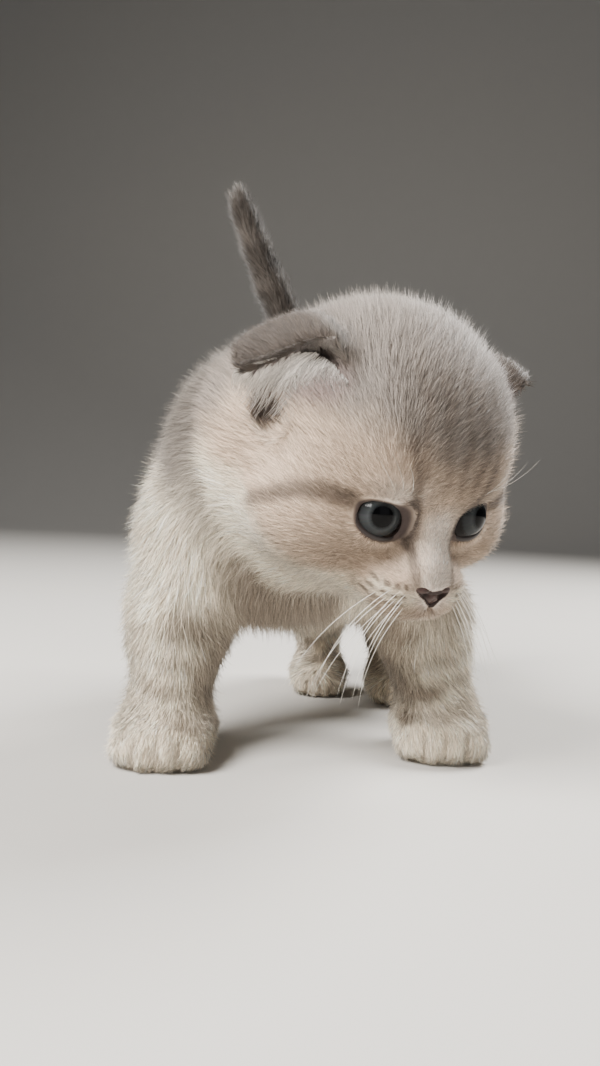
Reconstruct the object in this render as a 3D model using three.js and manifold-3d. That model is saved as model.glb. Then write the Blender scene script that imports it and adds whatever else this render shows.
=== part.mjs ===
// A Scottish Fold kitten about five weeks old, life size, standing with its front legs
// apart, its head low and turned to its own left, and its tail up.
//
// The kitten faces -Y, its own left is +X and up is +Z, in millimetres. The whole coat is
// one smooth form, blended from rounded masses, each named and placed from the sizes
// below. It is then parted with thin cuts into the head, neck, trunk, legs and tail.

import * as THREE from 'three';
import { MarchingCubes } from 'three/addons/objects/MarchingCubes.js';
import { mergeVertices } from 'three/addons/utils/BufferGeometryUtils.js';
import Module from 'manifold-3d';

const wasm = await Module();
wasm.setup();
const { Manifold } = wasm;
const { sin, cos, abs, min, max, hypot, sqrt, ceil, round, floor } = Math;
const RADIAN = Math.PI / 180;

// The gap that parts neighbouring pieces.
const PARTING = 0.3;

// Head: the point midway between the eyes, how the head is turned, and its main sizes.
const EYE_LINE = [28.1, -24.6, 64.2];
const HEAD_YAW = 29;
const HEAD_PITCH = 32;
const HEAD_ROLL = -2;
const SKULL_WIDTH = 60;
const SKULL_LENGTH = 64;
const SKULL_HEIGHT = 56;
const CHEEK_WIDTH = 68;
const MUZZLE_REACH = 10.8;
const MUZZLE_WIDTH = 25;
const NOSE_DROP = 10.6;
const NOSE_WING = 2.6;
const NOSE_HALF_WIDTH = 4.7;
const CHIN_DROP = 19;

// Eyes: globe radius, how far apart the globes are, how they look outwards, the opening.
const GLOBE_RADIUS = 7.2;
const GLOBE_APART = 22.4;
const GLOBE_SET_BACK = 4.8;
const GAZE_OUT = 20;
const GAZE_UP = 23;
const EYE_OPENING_WIDTH = 12;
const EYE_OPENING_ABOVE = 3.8;
const EYE_OPENING_BELOW = 5.6;
const LID_THICKNESS = 0.9;

// Ears: the middle of the root of the right ear on the head, the plate that makes the ear,
// where it folds, how tightly and how far, and how its root arches over the opening.
const EAR_ROOT = [-20.5, 31, 28.5];
const EAR_FRONT_TO_BACK = [-0.35, 0.86, -0.35];
const EAR_OUTWARD = [-0.75, 0.15, 0.65];
const EAR_HALF_WIDTH = 13.5;
const EAR_LENGTH = 20.5;
const EAR_TIP_BACK = 7;
const EAR_THICKNESS = 2.4;
const EAR_FOLD_AT = 5;
const EAR_FOLD_RADIUS = 3.6;
const EAR_FOLD_ANGLE = 115;
const EAR_ARCH = 9;
const EAR_CUP = { place: [-29.2, 29, 13.5], radii: [4.6, 7, 7.5] };
const EAR_LOWERED = { right: 0, left: 9 };

// Trunk: where the shoulders and the rump are, and half widths and heights of the coat.
const SHOULDERS = [-3, 24, 70];
const RUMP = [19, 92, 64];
const SHOULDER_HALF_WIDTH = 36;
const BELLY_HALF_WIDTH = 33;
const RUMP_HALF_WIDTH = 30;
const TRUNK_HALF_HEIGHT = 33;

// Legs: the middle of each foot on the floor, and the thickness of the coated limbs.
const FOREFOOT = { right: [-33, 2, 0], left: [41, 18, 0] };
const HINDFOOT = { right: [9, 92, 0], left: [36, 82, 0] };
const ELBOW_HEIGHT = 38;
const WRIST_HEIGHT = 14;
const KNEE_HEIGHT = 38;
const HOCK_HEIGHT = 24;
const FORELEG_RADIUS = 12.5;
const FOREFOOT_HALF_WIDTH = 13;
const HINDFOOT_HALF_WIDTH = 9.8;
const TOE_RADIUS = 4.2;

// Tail: root, two points on the way, and tip.
const TAIL = [[17, 110, 84], [9, 113, 108], [-12, 104, 146], [-28, 92, 180]];
const TAIL_ROOT_RADIUS = 9.5;
const TAIL_TIP_RADIUS = 5.2;
const TAIL_TAPER = 1.5;

// How softly neighbouring masses run into each other.
const FACE_BLEND = 5;
const TRUNK_BLEND = 14;
const NECK_BLEND = 10;
const LIMB_BLEND = 8;
const TOE_BLEND = 2.5;

// How fine each part of the surface is, as the side of one cell of its grid.
const CELL = {
  trunk: 7.6,
  neck: 7,
  thigh: 6.4,
  leg: 5.2,
  foot: 4.1,
  tail: 5,
  head: 4.4,
  muzzle: 2.3,
  nose: 1.35,
};
const SMOOTHING_ROUNDS = 4;

// Frames

const point = (values) => new THREE.Vector3(...values);

function frameAt(place, turn = [0, 0, 0]) {
  const [pitch, roll, yaw] = turn.map((angle) => angle * RADIAN);
  const turned = new THREE.Matrix4().makeRotationFromEuler(new THREE.Euler(pitch, roll, yaw, 'ZXY'));
  return turned.setPosition(...place);
}

const STANCE = frameAt([0, 0, 0]);
const HEAD = frameAt(EYE_LINE, [HEAD_PITCH, HEAD_ROLL, HEAD_YAW]);
const trunkYaw = -Math.atan2(RUMP[0] - SHOULDERS[0], RUMP[1] - SHOULDERS[1]) / RADIAN;

// Masses: each is a function from a point to its distance from the surface, minus inside.

function ball(frame, place, radii, turn) {
  const toLocal = frame.clone().multiply(frameAt(place, turn)).invert();
  const [a, b, c] = radii;
  const local = new THREE.Vector3();
  return (p) => {
    local.copy(p).applyMatrix4(toLocal);
    const near = hypot(local.x / a, local.y / b, local.z / c);
    const slope = hypot(local.x / (a * a), local.y / (b * b), local.z / (c * c));
    return slope < 1e-9 ? -min(a, b, c) : (near * (near - 1)) / slope;
  };
}

// A limb swells or tapers from one round end to the other.
function limb(frame, from, fromRadius, to, toRadius) {
  const start = point(from).applyMatrix4(frame);
  const along = point(to).applyMatrix4(frame).sub(start);
  const length = along.length();
  along.divideScalar(length);
  const local = new THREE.Vector3();
  const slant = (fromRadius - toRadius) / length;
  const level = sqrt(1 - slant * slant);
  return (p) => {
    local.copy(p).sub(start);
    const forward = local.dot(along);
    const aside = sqrt(max(local.lengthSq() - forward * forward, 0));
    const turned = forward * level + aside * -slant;
    if (turned < 0) return hypot(aside, forward) - fromRadius;
    if (turned > length * level) return hypot(aside, forward - length) - toRadius;
    return aside * level + forward * slant - fromRadius;
  };
}

function softer(softness, one, other) {
  const overlap = max(softness - abs(one - other), 0) / softness;
  return min(one, other) - (overlap * overlap * softness) / 4;
}

function blend(softness, masses) {
  return (p) => masses.slice(1).reduce((joined, mass) => softer(softness, joined, mass(p)), masses[0](p));
}

// Each branch runs softly into the stem, and stays apart from the other branches.
function branched(softness, stem, branches) {
  return (p) => {
    const base = stem(p);
    return min(...branches.map((branch) => softer(softness, base, branch(p))));
  };
}

const SIDES = [['right', -1], ['left', 1]];

// Head

const globePlace = (side) => [side * GLOBE_APART / 2, GLOBE_SET_BACK, 0];

function headForm() {
  const cheekRadius = 17;
  const chinFront = 9 - MUZZLE_REACH;
  const padFront = 6.5 - MUZZLE_REACH;
  const skull = [
    ball(HEAD, [0, 27, 12], [SKULL_WIDTH / 2, SKULL_LENGTH / 2, SKULL_HEIGHT / 2]),
    ball(HEAD, [0, 10, 11], [21, 14, 15]),
    limb(HEAD, [0, 3, 1], 6.2, [0, 4.2 - MUZZLE_REACH, -7], 4.6),
    ball(HEAD, [0, 12, -15], [18, 19, 11]),
    ball(HEAD, [0, chinFront, 2 - CHIN_DROP], [7.5, 7.5, 5]),
  ];
  for (const [, side] of SIDES) {
    const cheekX = side * (CHEEK_WIDTH / 2 - cheekRadius);
    skull.push(ball(HEAD, [cheekX, 16.5, -7], [cheekRadius, 17, 15]));
    skull.push(ball(HEAD, [side * 19, 16, 4], [9.5, 11, 11]));
    skull.push(ball(HEAD, [side * 5, padFront, -13.5], [MUZZLE_WIDTH / 2 - 5, 7.5, 6]));
  }
  const lidRadius = GLOBE_RADIUS + PARTING + LID_THICKNESS;
  const lids = SIDES.map(([, side]) => ball(HEAD, globePlace(side), [lidRadius, lidRadius, lidRadius]));
  return blend(2, [blend(FACE_BLEND, skull), ...lids]);
}

function noseForm() {
  const reach = -MUZZLE_REACH;
  return blend(1.6, [
    ball(HEAD, [0, reach + 1, -NOSE_DROP], [2.8, 2.4, 2.5]),
    ball(HEAD, [-NOSE_WING, reach + 1.4, -NOSE_DROP - 0.2], [2.3, 2.1, 2.1]),
    ball(HEAD, [NOSE_WING, reach + 1.4, -NOSE_DROP - 0.2], [2.3, 2.1, 2.1]),
    ball(HEAD, [0, reach + 1.6, -NOSE_DROP - 2.6], [1.3, 1.6, 1.8]),
  ]);
}

// Trunk and neck

const between = (from, to, share) => from.map((value, i) => value + (to[i] - value) * share);

function trunkForm() {
  const turned = [0, 0, trunkYaw];
  const middle = between(SHOULDERS, RUMP, 0.5);
  const [chestX, chestY, chestZ] = SHOULDERS;
  return blend(TRUNK_BLEND, [
    ball(STANCE, SHOULDERS, [SHOULDER_HALF_WIDTH, 32, TRUNK_HALF_HEIGHT + 5], turned),
    ball(STANCE, [middle[0], middle[1], middle[2] - 2], [BELLY_HALF_WIDTH, 36, TRUNK_HALF_HEIGHT], turned),
    ball(STANCE, RUMP, [RUMP_HALF_WIDTH, 28, TRUNK_HALF_HEIGHT - 2], turned),
    ball(STANCE, [chestX + 4, chestY - 14, chestZ - 4], [28, 20, 24], turned),
  ]);
}

function neckForm() {
  return limb(STANCE, [-4, 18, 81], 33, [12, 4, 88], 29);
}

// Legs

function toes(foot, halfWidth, reach) {
  const [x, y] = foot;
  const spread = [-1, -0.36, 0.36, 1];
  return spread.map((place) => {
    const forward = reach - 2.2 * place * place;
    const middle = [x + place * (halfWidth - TOE_RADIUS), y - forward, 4.5];
    return ball(STANCE, middle, [TOE_RADIUS, 5.5, TOE_RADIUS + 0.8]);
  });
}

function forelegForm(name, side) {
  const [x, y] = FOREFOOT[name];
  const shoulder = [SHOULDERS[0] + side * 24, SHOULDERS[1] - 4, 60];
  const elbow = [x * 0.75 + shoulder[0] * 0.25, y + 11, ELBOW_HEIGHT];
  const wrist = [x, y + 6, WRIST_HEIGHT];
  const leg = blend(LIMB_BLEND, [
    limb(STANCE, shoulder, 20, elbow, FORELEG_RADIUS + 2),
    limb(STANCE, elbow, FORELEG_RADIUS + 1, wrist, FORELEG_RADIUS - 1),
    ball(STANCE, [x, y, 6.5], [FOREFOOT_HALF_WIDTH, 13, 9]),
  ]);
  return blend(TOE_BLEND, [leg, ...toes([x, y], FOREFOOT_HALF_WIDTH, 9.5)]);
}

function hindlegForm(name, side) {
  const [x, y] = HINDFOOT[name];
  const hip = [RUMP[0] + side * 15, RUMP[1] - 2, 56];
  const knee = [x + side * 3, y - 10, KNEE_HEIGHT];
  const hock = [x, y + 20, HOCK_HEIGHT];
  const leg = blend(LIMB_BLEND, [
    limb(STANCE, hip, 20, knee, 14),
    limb(STANCE, knee, 13, hock, 8.5),
    limb(STANCE, hock, 8.5, [x, y + 6, 8.5], 8),
    ball(STANCE, [x, y, 6], [HINDFOOT_HALF_WIDTH, 13, 8]),
  ]);
  return blend(TOE_BLEND, [leg, ...toes([x, y], HINDFOOT_HALF_WIDTH, 9)]);
}

// Tail

const tailCurve = new THREE.CatmullRomCurve3(TAIL.map(point));
const tailRadius = (share) => TAIL_ROOT_RADIUS + (TAIL_TIP_RADIUS - TAIL_ROOT_RADIUS) * share ** TAIL_TAPER;

function tailForm() {
  const lengths = 7;
  const masses = [];
  for (let i = 0; i < lengths; i++) {
    const from = tailCurve.getPoint(i / lengths).toArray();
    const to = tailCurve.getPoint((i + 1) / lengths).toArray();
    masses.push(limb(STANCE, from, tailRadius(i / lengths), to, tailRadius((i + 1) / lengths)));
  }
  return blend(2, masses);
}

// The whole coat

const head = blend(1.2, [headForm(), noseForm()]);
const limbs = SIDES.flatMap(([name, side]) => [forelegForm(name, side), hindlegForm(name, side)]);
const body = blend(NECK_BLEND, [trunkForm(), neckForm(), head]);
const coat = branched(LIMB_BLEND, body, [...limbs, tailForm()]);

// Surfaces: a form inside a box becomes a closed mesh of even triangles.

const STEP = 0.02;
const slopeStep = [[STEP, 0, 0], [0, STEP, 0], [0, 0, STEP]].map(point);
const ahead = new THREE.Vector3();
const behind = new THREE.Vector3();

function slopeOf(form, p) {
  const slope = slopeStep.map((step) => {
    return form(ahead.copy(p).add(step)) - form(behind.copy(p).sub(step));
  });
  return point(slope).divideScalar(2 * STEP);
}

function ontoSurface(form, p, rounds = 2) {
  for (let i = 0; i < rounds; i++) {
    const slope = slopeOf(form, p);
    p.addScaledVector(slope, -form(p) / max(slope.lengthSq(), 0.05));
  }
  return p;
}

function boxForm(box) {
  const middle = box.getCenter(new THREE.Vector3());
  const half = box.getSize(new THREE.Vector3()).multiplyScalar(0.5);
  const past = (p, axis) => abs(p[axis] - middle[axis]) - half[axis];
  return (p) => max(past(p, 'x'), past(p, 'y'), past(p, 'z'));
}

function gridded(form, box, cell) {
  const size = box.getSize(new THREE.Vector3());
  const middle = box.getCenter(new THREE.Vector3());
  const resolution = ceil(max(size.x, size.y, size.z) / cell) + 7;
  const cubes = new MarchingCubes(resolution, new THREE.MeshStandardMaterial(), false, false, 60000);
  cubes.isolation = 0;
  const half = resolution / 2;
  const p = new THREE.Vector3();
  const least = 0.15 * cell;
  for (let k = 0, at = 0; k < resolution; k++) {
    for (let j = 0; j < resolution; j++) {
      for (let i = 0; i < resolution; i++, at++) {
        const value = -form(p.set(i - half, j - half, k - half).multiplyScalar(cell).add(middle));
        cubes.field[at] = value < 0 ? min(value, -least) : max(value, least);
      }
    }
  }
  cubes.update();
  return { cubes, half, middle };
}

// Each corner lies on one edge of the grid, which is its key.
function welded({ cubes, half, middle }, cell) {
  const found = new Map();
  const corners = [];
  const index = [];
  for (let i = 0; i < cubes.count; i++) {
    const at = [0, 1, 2].map((axis) => cubes.positionArray[3 * i + axis] * half);
    const onGrid = (value) => abs(value - round(value)) < 0.01;
    const key = at.map((value) => (onGrid(value) ? round(value) : floor(value) + 0.5)).join();
    if (!found.has(key)) {
      found.set(key, corners.length);
      corners.push(point(at).multiplyScalar(cell).add(middle));
    }
    index.push(found.get(key));
  }
  return { corners, index };
}

function neighboursOf({ corners, index }) {
  const neighbours = corners.map(() => new Set());
  for (let i = 0; i < index.length; i += 3) {
    const face = index.slice(i, i + 3);
    face.forEach((corner, at) => neighbours[corner].add(face[(at + 1) % 3]));
    face.forEach((corner, at) => neighbours[corner].add(face[(at + 2) % 3]));
  }
  return neighbours;
}

function smoothed(mesh, form) {
  const neighbours = neighboursOf(mesh);
  for (let pass = 0; pass < SMOOTHING_ROUNDS; pass++) {
    mesh.corners = mesh.corners.map((corner, i) => {
      const around = new THREE.Vector3();
      neighbours[i].forEach((other) => around.add(mesh.corners[other]));
      around.divideScalar(neighbours[i].size);
      return ontoSurface(form, corner.clone().lerp(around, 0.6));
    });
  }
  return mesh;
}

function solidFrom({ corners, index }) {
  const vertProperties = new Float32Array(corners.flatMap((corner) => corner.toArray()));
  const triVerts = new Uint32Array(index);
  return new Manifold(new wasm.Mesh({ numProp: 3, vertProperties, triVerts }));
}

function solidOfGeometry(geometry) {
  const bare = geometry.clone();
  bare.deleteAttribute('normal');
  bare.deleteAttribute('uv');
  const merged = mergeVertices(bare, 1e-4);
  const triVerts = new Uint32Array(merged.index.array);
  const vertProperties = merged.attributes.position.array;
  return new Manifold(new wasm.Mesh({ numProp: 3, vertProperties, triVerts }));
}

function fleshIn(box, cell, form = coat) {
  const reach = box.clone().expandByScalar(2 * cell);
  const boxed = boxForm(reach);
  const shape = (p) => max(form(p), boxed(p));
  return solidFrom(smoothed(welded(gridded(shape, reach, cell), cell), shape));
}

// After a cut a piece keeps its largest closed surface.
function largest(solid) {
  const pieces = solid.decompose();
  return pieces.reduce((best, piece) => (piece.volume() > best.volume() ? piece : best));
}

// Regions: a box of space, trimmed by planes. Each plane passes through a point and faces
// into the region.

function boxSolid(frame, lowest, highest) {
  const low = point(lowest);
  const size = point(highest).sub(low);
  const geometry = new THREE.BoxGeometry(...size.toArray());
  geometry.translate(...size.clone().multiplyScalar(0.5).add(low).toArray());
  return solidOfGeometry(geometry.applyMatrix4(frame));
}

function trimmed(solid, frame, cuts, gap) {
  return cuts.reduce((kept, { through, facing }) => {
    const normal = point(facing).transformDirection(frame);
    const offset = point(through).applyMatrix4(frame).dot(normal);
    return kept.trimByPlane(normal.toArray(), offset + gap);
  }, solid);
}

function regionOf({ frame = STANCE, within: [low, high], cuts }) {
  const box = boxSolid(frame, low, high);
  const innerLow = low.map((value) => value + PARTING);
  const innerHigh = high.map((value) => value - PARTING);
  const innerBox = boxSolid(frame, innerLow, innerHigh);
  return { whole: trimmed(box, frame, cuts, 0), inner: trimmed(innerBox, frame, cuts, PARTING) };
}

function boxAround(solid) {
  const bounds = solid.boundingBox();
  return new THREE.Box3(point(bounds.min), point(bounds.max));
}

// Parting: a piece is the coat inside its own region and outside every earlier one.

const earlier = [];

function parted(region, cell, form = coat) {
  const flesh = fleshIn(boxAround(region.inner), cell, form);
  let solid = flesh.intersect(region.inner).trimByPlane([0, 0, 1], 0);
  for (const other of earlier) {
    solid = solid.subtract(other);
  }
  earlier.push(region.whole);
  return largest(solid);
}

// Pieces

const COLOURS = {
  crown: 0xb4aca2,
  face: 0xc9bbab,
  ear: 0x8d8176,
  eye: 0x6f767c,
  nose: 0x8f6b63,
  cream: 0xe3dacd,
  legs: 0xcdbfae,
  tail: 0x8a7e72,
};

const kitten = new THREE.Group();

function place(name, solid, colour, roughness = 0.9) {
  const { numProp, vertProperties, triVerts } = solid.getMesh();
  const corners = new Float32Array((vertProperties.length / numProp) * 3);
  for (let i = 0; i < corners.length / 3; i++) {
    corners.set(vertProperties.subarray(i * numProp, i * numProp + 3), 3 * i);
  }
  const geometry = new THREE.BufferGeometry();
  geometry.setAttribute('position', new THREE.BufferAttribute(corners, 3));
  geometry.setIndex(Array.from(triVerts));
  geometry.computeVertexNormals();
  const material = new THREE.MeshStandardMaterial({ color: colour, roughness, metalness: 0 });
  const mesh = new THREE.Mesh(geometry, material);
  mesh.name = name;
  kitten.add(mesh);
}

// Tail, in three lengths

const TAIL_CUTS = [0.15, 0.43, 0.71];
const TAIL_NAMES = ['tail_root', 'tail_middle', 'tail_tip'];

function tailRegion(at) {
  const through = tailCurve.getPointAt(at).toArray();
  const facing = tailCurve.getTangentAt(at).toArray();
  return regionOf({ within: [[-55, 84, 88], [45, 140, 210]], cuts: [{ through, facing }] });
}

for (let i = TAIL_CUTS.length - 1; i >= 0; i--) {
  place(TAIL_NAMES[i], parted(tailRegion(TAIL_CUTS[i]), CELL.tail), COLOURS.tail);
}

// Eyes

function eyeFrame(side) {
  return HEAD.clone().multiply(frameAt(globePlace(side), [-GAZE_UP, 0, side * GAZE_OUT]));
}

function eyeSolid(side, grow = 0) {
  const corneaRadius = 5.4;
  const corneaForward = 2.7;
  const profile = [];
  const steps = 10;
  for (let i = 0; i <= steps; i++) {
    const angle = (i / steps) * Math.PI;
    const around = sin(angle);
    const cornea = corneaForward * cos(angle) + sqrt(corneaRadius ** 2 - (corneaForward * around) ** 2);
    const radius = max(GLOBE_RADIUS, cos(angle) > 0 ? cornea : 0) + grow;
    profile.push(new THREE.Vector2(i % steps ? radius * around : 0, -radius * cos(angle)));
  }
  const geometry = new THREE.LatheGeometry(profile, 18);
  return solidOfGeometry(geometry.applyMatrix4(eyeFrame(side)));
}

// The opening is an almond, seen along the gaze, flatter above than below.
function eyeOpening(side) {
  const half = EYE_OPENING_WIDTH / 2;
  const almond = new THREE.Shape();
  almond.moveTo(-half, 0);
  const upper = EYE_OPENING_ABOVE * 1.35;
  const lower = -EYE_OPENING_BELOW * 1.3;
  almond.bezierCurveTo(-half * 0.95, upper * 0.8, half * 0.9, upper * 1.15, half, 0);
  almond.bezierCurveTo(half * 0.9, lower, -half * 0.7, lower, -half, 0);
  const geometry = new THREE.ExtrudeGeometry(almond, { depth: 16, bevelEnabled: false, curveSegments: 7 });
  geometry.rotateX(Math.PI / 2);
  geometry.scale(side, 1, 1);
  geometry.applyMatrix4(eyeFrame(side));
  return solidOfGeometry(side < 0 ? turnedInsideOut(geometry) : geometry);
}

function turnedInsideOut(geometry) {
  const flat = geometry.index ? geometry.toNonIndexed() : geometry;
  const corners = flat.attributes.position;
  const swap = new THREE.Vector3();
  for (let i = 0; i < corners.count; i += 3) {
    swap.fromBufferAttribute(corners, i);
    corners.setXYZ(i, corners.getX(i + 1), corners.getY(i + 1), corners.getZ(i + 1));
    corners.setXYZ(i + 1, swap.x, swap.y, swap.z);
  }
  return flat;
}

// Mouth: the line of the mouth across the muzzle, with a low lip above and below it.

const MOUTH_HEIGHT = 2.8 - CHIN_DROP;
const MOUTH_DROOP = 1.6;
const LIP_RADIUS = 0.9;
const LIP_REACH = 9;

function mouthLine(x) {
  const aside = min(abs(x) / LIP_REACH, 1);
  const underNose = Math.exp(-(x * x) / 3);
  return MOUTH_HEIGHT + MOUTH_DROOP * (underNose - sin(aside * Math.PI * 0.62));
}

function onFrontOfHead(x, z) {
  const p = new THREE.Vector3();
  const rounds = 30;
  let y = -MUZZLE_REACH - 10;
  for (let i = 0; i < rounds; i++) {
    y += head(p.set(x, y, z).applyMatrix4(HEAD));
  }
  return [x, y, z];
}

function lipForm() {
  const steps = 6;
  const lips = [];
  for (const above of [LIP_RADIUS, -LIP_RADIUS]) {
    const places = [];
    for (let i = 0; i <= steps; i++) {
      const x = LIP_REACH * ((2 * i) / steps - 1);
      places.push(onFrontOfHead(x, mouthLine(x) + above));
    }
    for (let i = 0; i < steps; i++) {
      lips.push(limb(HEAD, places[i], LIP_RADIUS, places[i + 1], LIP_RADIUS));
    }
  }
  return lips;
}

const lipped = blend(1, [coat, ...lipForm()]);

function jawSpace(gap) {
  const reach = 13;
  const under = -45;
  const steps = 14;
  const outline = new THREE.Shape();
  outline.moveTo(-reach, under);
  for (let i = 0; i <= steps; i++) {
    const x = -reach + (2 * reach * i) / steps;
    outline.lineTo(x, mouthLine(x) - gap);
  }
  outline.lineTo(reach, under);
  const depth = 20 - gap;
  const geometry = new THREE.ExtrudeGeometry(outline, { depth, bevelEnabled: false });
  geometry.rotateX(Math.PI / 2);
  geometry.translate(0, -gap, 0);
  return solidOfGeometry(geometry.applyMatrix4(HEAD));
}

const noseRegion = regionOf({
  frame: HEAD,
  within: [
    [-NOSE_HALF_WIDTH, -25, -NOSE_DROP - 3.4],
    [NOSE_HALF_WIDTH, 3.6 - MUZZLE_REACH, 2 - NOSE_DROP],
  ],
  cuts: SIDES.map(([, side]) => {
    const wing = [side * NOSE_HALF_WIDTH, 0, -NOSE_DROP - 0.6];
    return { through: wing, facing: [-side * 0.68, 0, 0.73] };
  }),
});

let nose = parted(noseRegion, CELL.nose);
for (const [, side] of SIDES) {
  const nostril = new THREE.SphereGeometry(1, 10, 8).scale(0.75, 1.7, 0.65).rotateY(side * 0.5);
  nostril.translate(side * NOSE_WING, -MUZZLE_REACH - 1, -NOSE_DROP - 0.4);
  nose = nose.subtract(solidOfGeometry(nostril.applyMatrix4(HEAD)));
}
place('nose', nose, COLOURS.nose, 0.6);

const jawRegion = { whole: jawSpace(0), inner: jawSpace(PARTING) };
place('lower_jaw', parted(jawRegion, CELL.muzzle, lipped), COLOURS.face);

const muzzleRegion = regionOf({ frame: HEAD, within: [[-15, -35, -26], [15, -2.5, 4]], cuts: [] });
let muzzle = parted(muzzleRegion, CELL.muzzle, lipped);
for (const [, side] of SIDES) {
  muzzle = muzzle.subtract(eyeOpening(side));
}
place('muzzle', largest(muzzle), COLOURS.face);

const headRegion = regionOf({
  within: [[-50, -70, 30], [85, 45, 140]],
  cuts: [
    { through: [2, 12, 84], facing: [0.5, -0.82, 0.28] },
    { through: [20, -10, 42], facing: [0, -0.5, 0.87] },
  ],
});

function earFrame(side, lowered) {
  const middle = frameAt([0, 27, 12]);
  const turn = frameAt([0, 0, 0], [0, side * lowered, 0]);
  return HEAD.clone().multiply(middle).multiply(turn).multiply(middle.clone().invert());
}

// The ear is a thin plate that leaves the head outwards and folds down over its opening.
function earPlate(side, lowered) {
  const along = point(EAR_FRONT_TO_BACK).normalize();
  const outward = point(EAR_OUTWARD).addScaledVector(along, -along.dot(point(EAR_OUTWARD))).normalize();
  const down = new THREE.Vector3().crossVectors(outward, along);
  const sunk = 14;
  const geometry = new THREE.SphereGeometry(1, 22, 14);
  const corners = geometry.attributes.position;
  const p = new THREE.Vector3();
  for (let i = 0; i < corners.count; i++) {
    const [x, y, z] = [corners.getX(i), corners.getY(i), corners.getZ(i)];
    const reach = ((EAR_LENGTH + sunk) * (y + 1)) / 2 - sunk;
    const tipward = max(reach, 0) / EAR_LENGTH;
    const backward = EAR_HALF_WIDTH * x * (1 - 0.15 * tipward) + EAR_TIP_BACK * tipward ** 2;
    const turn = min(max((reach - EAR_FOLD_AT) / EAR_FOLD_RADIUS, 0), EAR_FOLD_ANGLE * RADIAN);
    const straight = min(reach, EAR_FOLD_AT);
    const hanging = max(reach - EAR_FOLD_AT - turn * EAR_FOLD_RADIUS, 0);
    const out = straight + EAR_FOLD_RADIUS * sin(turn) + hanging * cos(turn);
    const drop = EAR_FOLD_RADIUS * (1 - cos(turn)) + hanging * sin(turn);
    const arch = EAR_ARCH * (backward / EAR_HALF_WIDTH) ** 2;
    const outside = (EAR_THICKNESS / 2) * Math.sign(z) * sqrt(abs(z));
    p.set(...EAR_ROOT).addScaledVector(along, backward);
    p.addScaledVector(outward, out + outside * sin(turn));
    p.addScaledVector(down, drop + arch - outside * cos(turn));
    corners.setXYZ(i, -side * p.x, p.y, p.z);
  }
  geometry.applyMatrix4(earFrame(side, lowered));
  const solid = solidOfGeometry(geometry);
  return solid.volume() > 0 ? solid : solidOfGeometry(turnedInsideOut(geometry));
}

function earCup(side, lowered) {
  const { place: [x, y, z], radii } = EAR_CUP;
  const geometry = new THREE.SphereGeometry(1, 16, 12).scale(...radii).translate(-side * x, y, z);
  return solidOfGeometry(geometry.applyMatrix4(earFrame(side, lowered)));
}

const headTop = new THREE.Box3().setFromPoints([point([-50, -50, 50]), point([80, 50, 135])]);
const headSpace = fleshIn(headTop, CELL.head, (p) => coat(p) - PARTING);
for (const [name, side] of SIDES) {
  place(`ear_${name}`, largest(earPlate(side, EAR_LOWERED[name]).subtract(headSpace)), COLOURS.ear);
}

let skull = parted(headRegion, CELL.head);
for (const [name, side] of SIDES) {
  skull = skull.subtract(eyeSolid(side, PARTING)).subtract(eyeOpening(side));
  skull = skull.subtract(earCup(side, EAR_LOWERED[name]));
  place(`eye_${name}`, eyeSolid(side), COLOURS.eye, 0.1);
}
place('head', largest(skull), COLOURS.crown);

// Legs

const BELOW = -5;
const KNEE_OUT = 25;
for (const [name, side] of SIDES) {
  const [x, y] = FOREFOOT[name];
  const [hindX, hindY] = HINDFOOT[name];
  const foreColumn = [[x - 24, y - 25, BELOW], [x + 24, y + 34, 60]];
  const forefoot = regionOf({ within: foreColumn, cuts: [{ through: [x, y, 12], facing: [0, 0, -1] }] });
  place(`forefoot_${name}`, parted(forefoot, CELL.foot), COLOURS.legs);
  const forearm = regionOf({ within: foreColumn, cuts: [{ through: [x, y, 31], facing: [0, 0.1, -1] }] });
  place(`forearm_${name}`, parted(forearm, CELL.leg), COLOURS.legs);
  const kneeX = hindX + side * KNEE_OUT;
  const hindLow = [min(hindX - 15, kneeX), hindY - 26, BELOW];
  const hindHigh = [max(hindX + 15, kneeX), hindY + 45, 60];
  const hindColumn = [hindLow, hindHigh];
  const ankle = { through: [hindX, hindY + 8, 12], facing: [0, 0.3, -1] };
  const hindfoot = regionOf({ within: hindColumn, cuts: [ankle] });
  place(`hindfoot_${name}`, parted(hindfoot, CELL.foot), COLOURS.legs);
  const knee = { through: [hindX, hindY, 29], facing: [0, 0.2, -1] };
  const shank = regionOf({ within: hindColumn, cuts: [knee] });
  place(`shank_${name}`, parted(shank, CELL.leg), COLOURS.legs);
}

for (const [name, side] of SIDES) {
  const upperArm = regionOf({
    within: [[-70, -20, 20], [85, 46, 84]],
    cuts: [{ through: [SHOULDERS[0] + side * 21, 16, 52], facing: [side * 0.85, 0, -0.5] }],
  });
  place(`upper_arm_${name}`, parted(upperArm, CELL.leg), COLOURS.cream);
  const thigh = regionOf({
    within: [[-50, 50, 20], [85, 140, 88]],
    cuts: [
      { through: [RUMP[0] + side * 16, 90, 48], facing: [side * 0.85, 0, -0.5] },
      { through: [0, 66, 50], facing: [0, 0.8, -0.6] },
    ],
  });
  place(`thigh_${name}`, parted(thigh, CELL.thigh), COLOURS.legs);
}

// Neck and trunk

const neckRegion = regionOf({
  within: [[-60, -20, 50], [60, 60, 130]],
  cuts: [{ through: [-4, 24, 88], facing: [0.4, -0.75, 0.55] }],
});
place('neck', parted(neckRegion, CELL.neck), COLOURS.cream);

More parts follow.
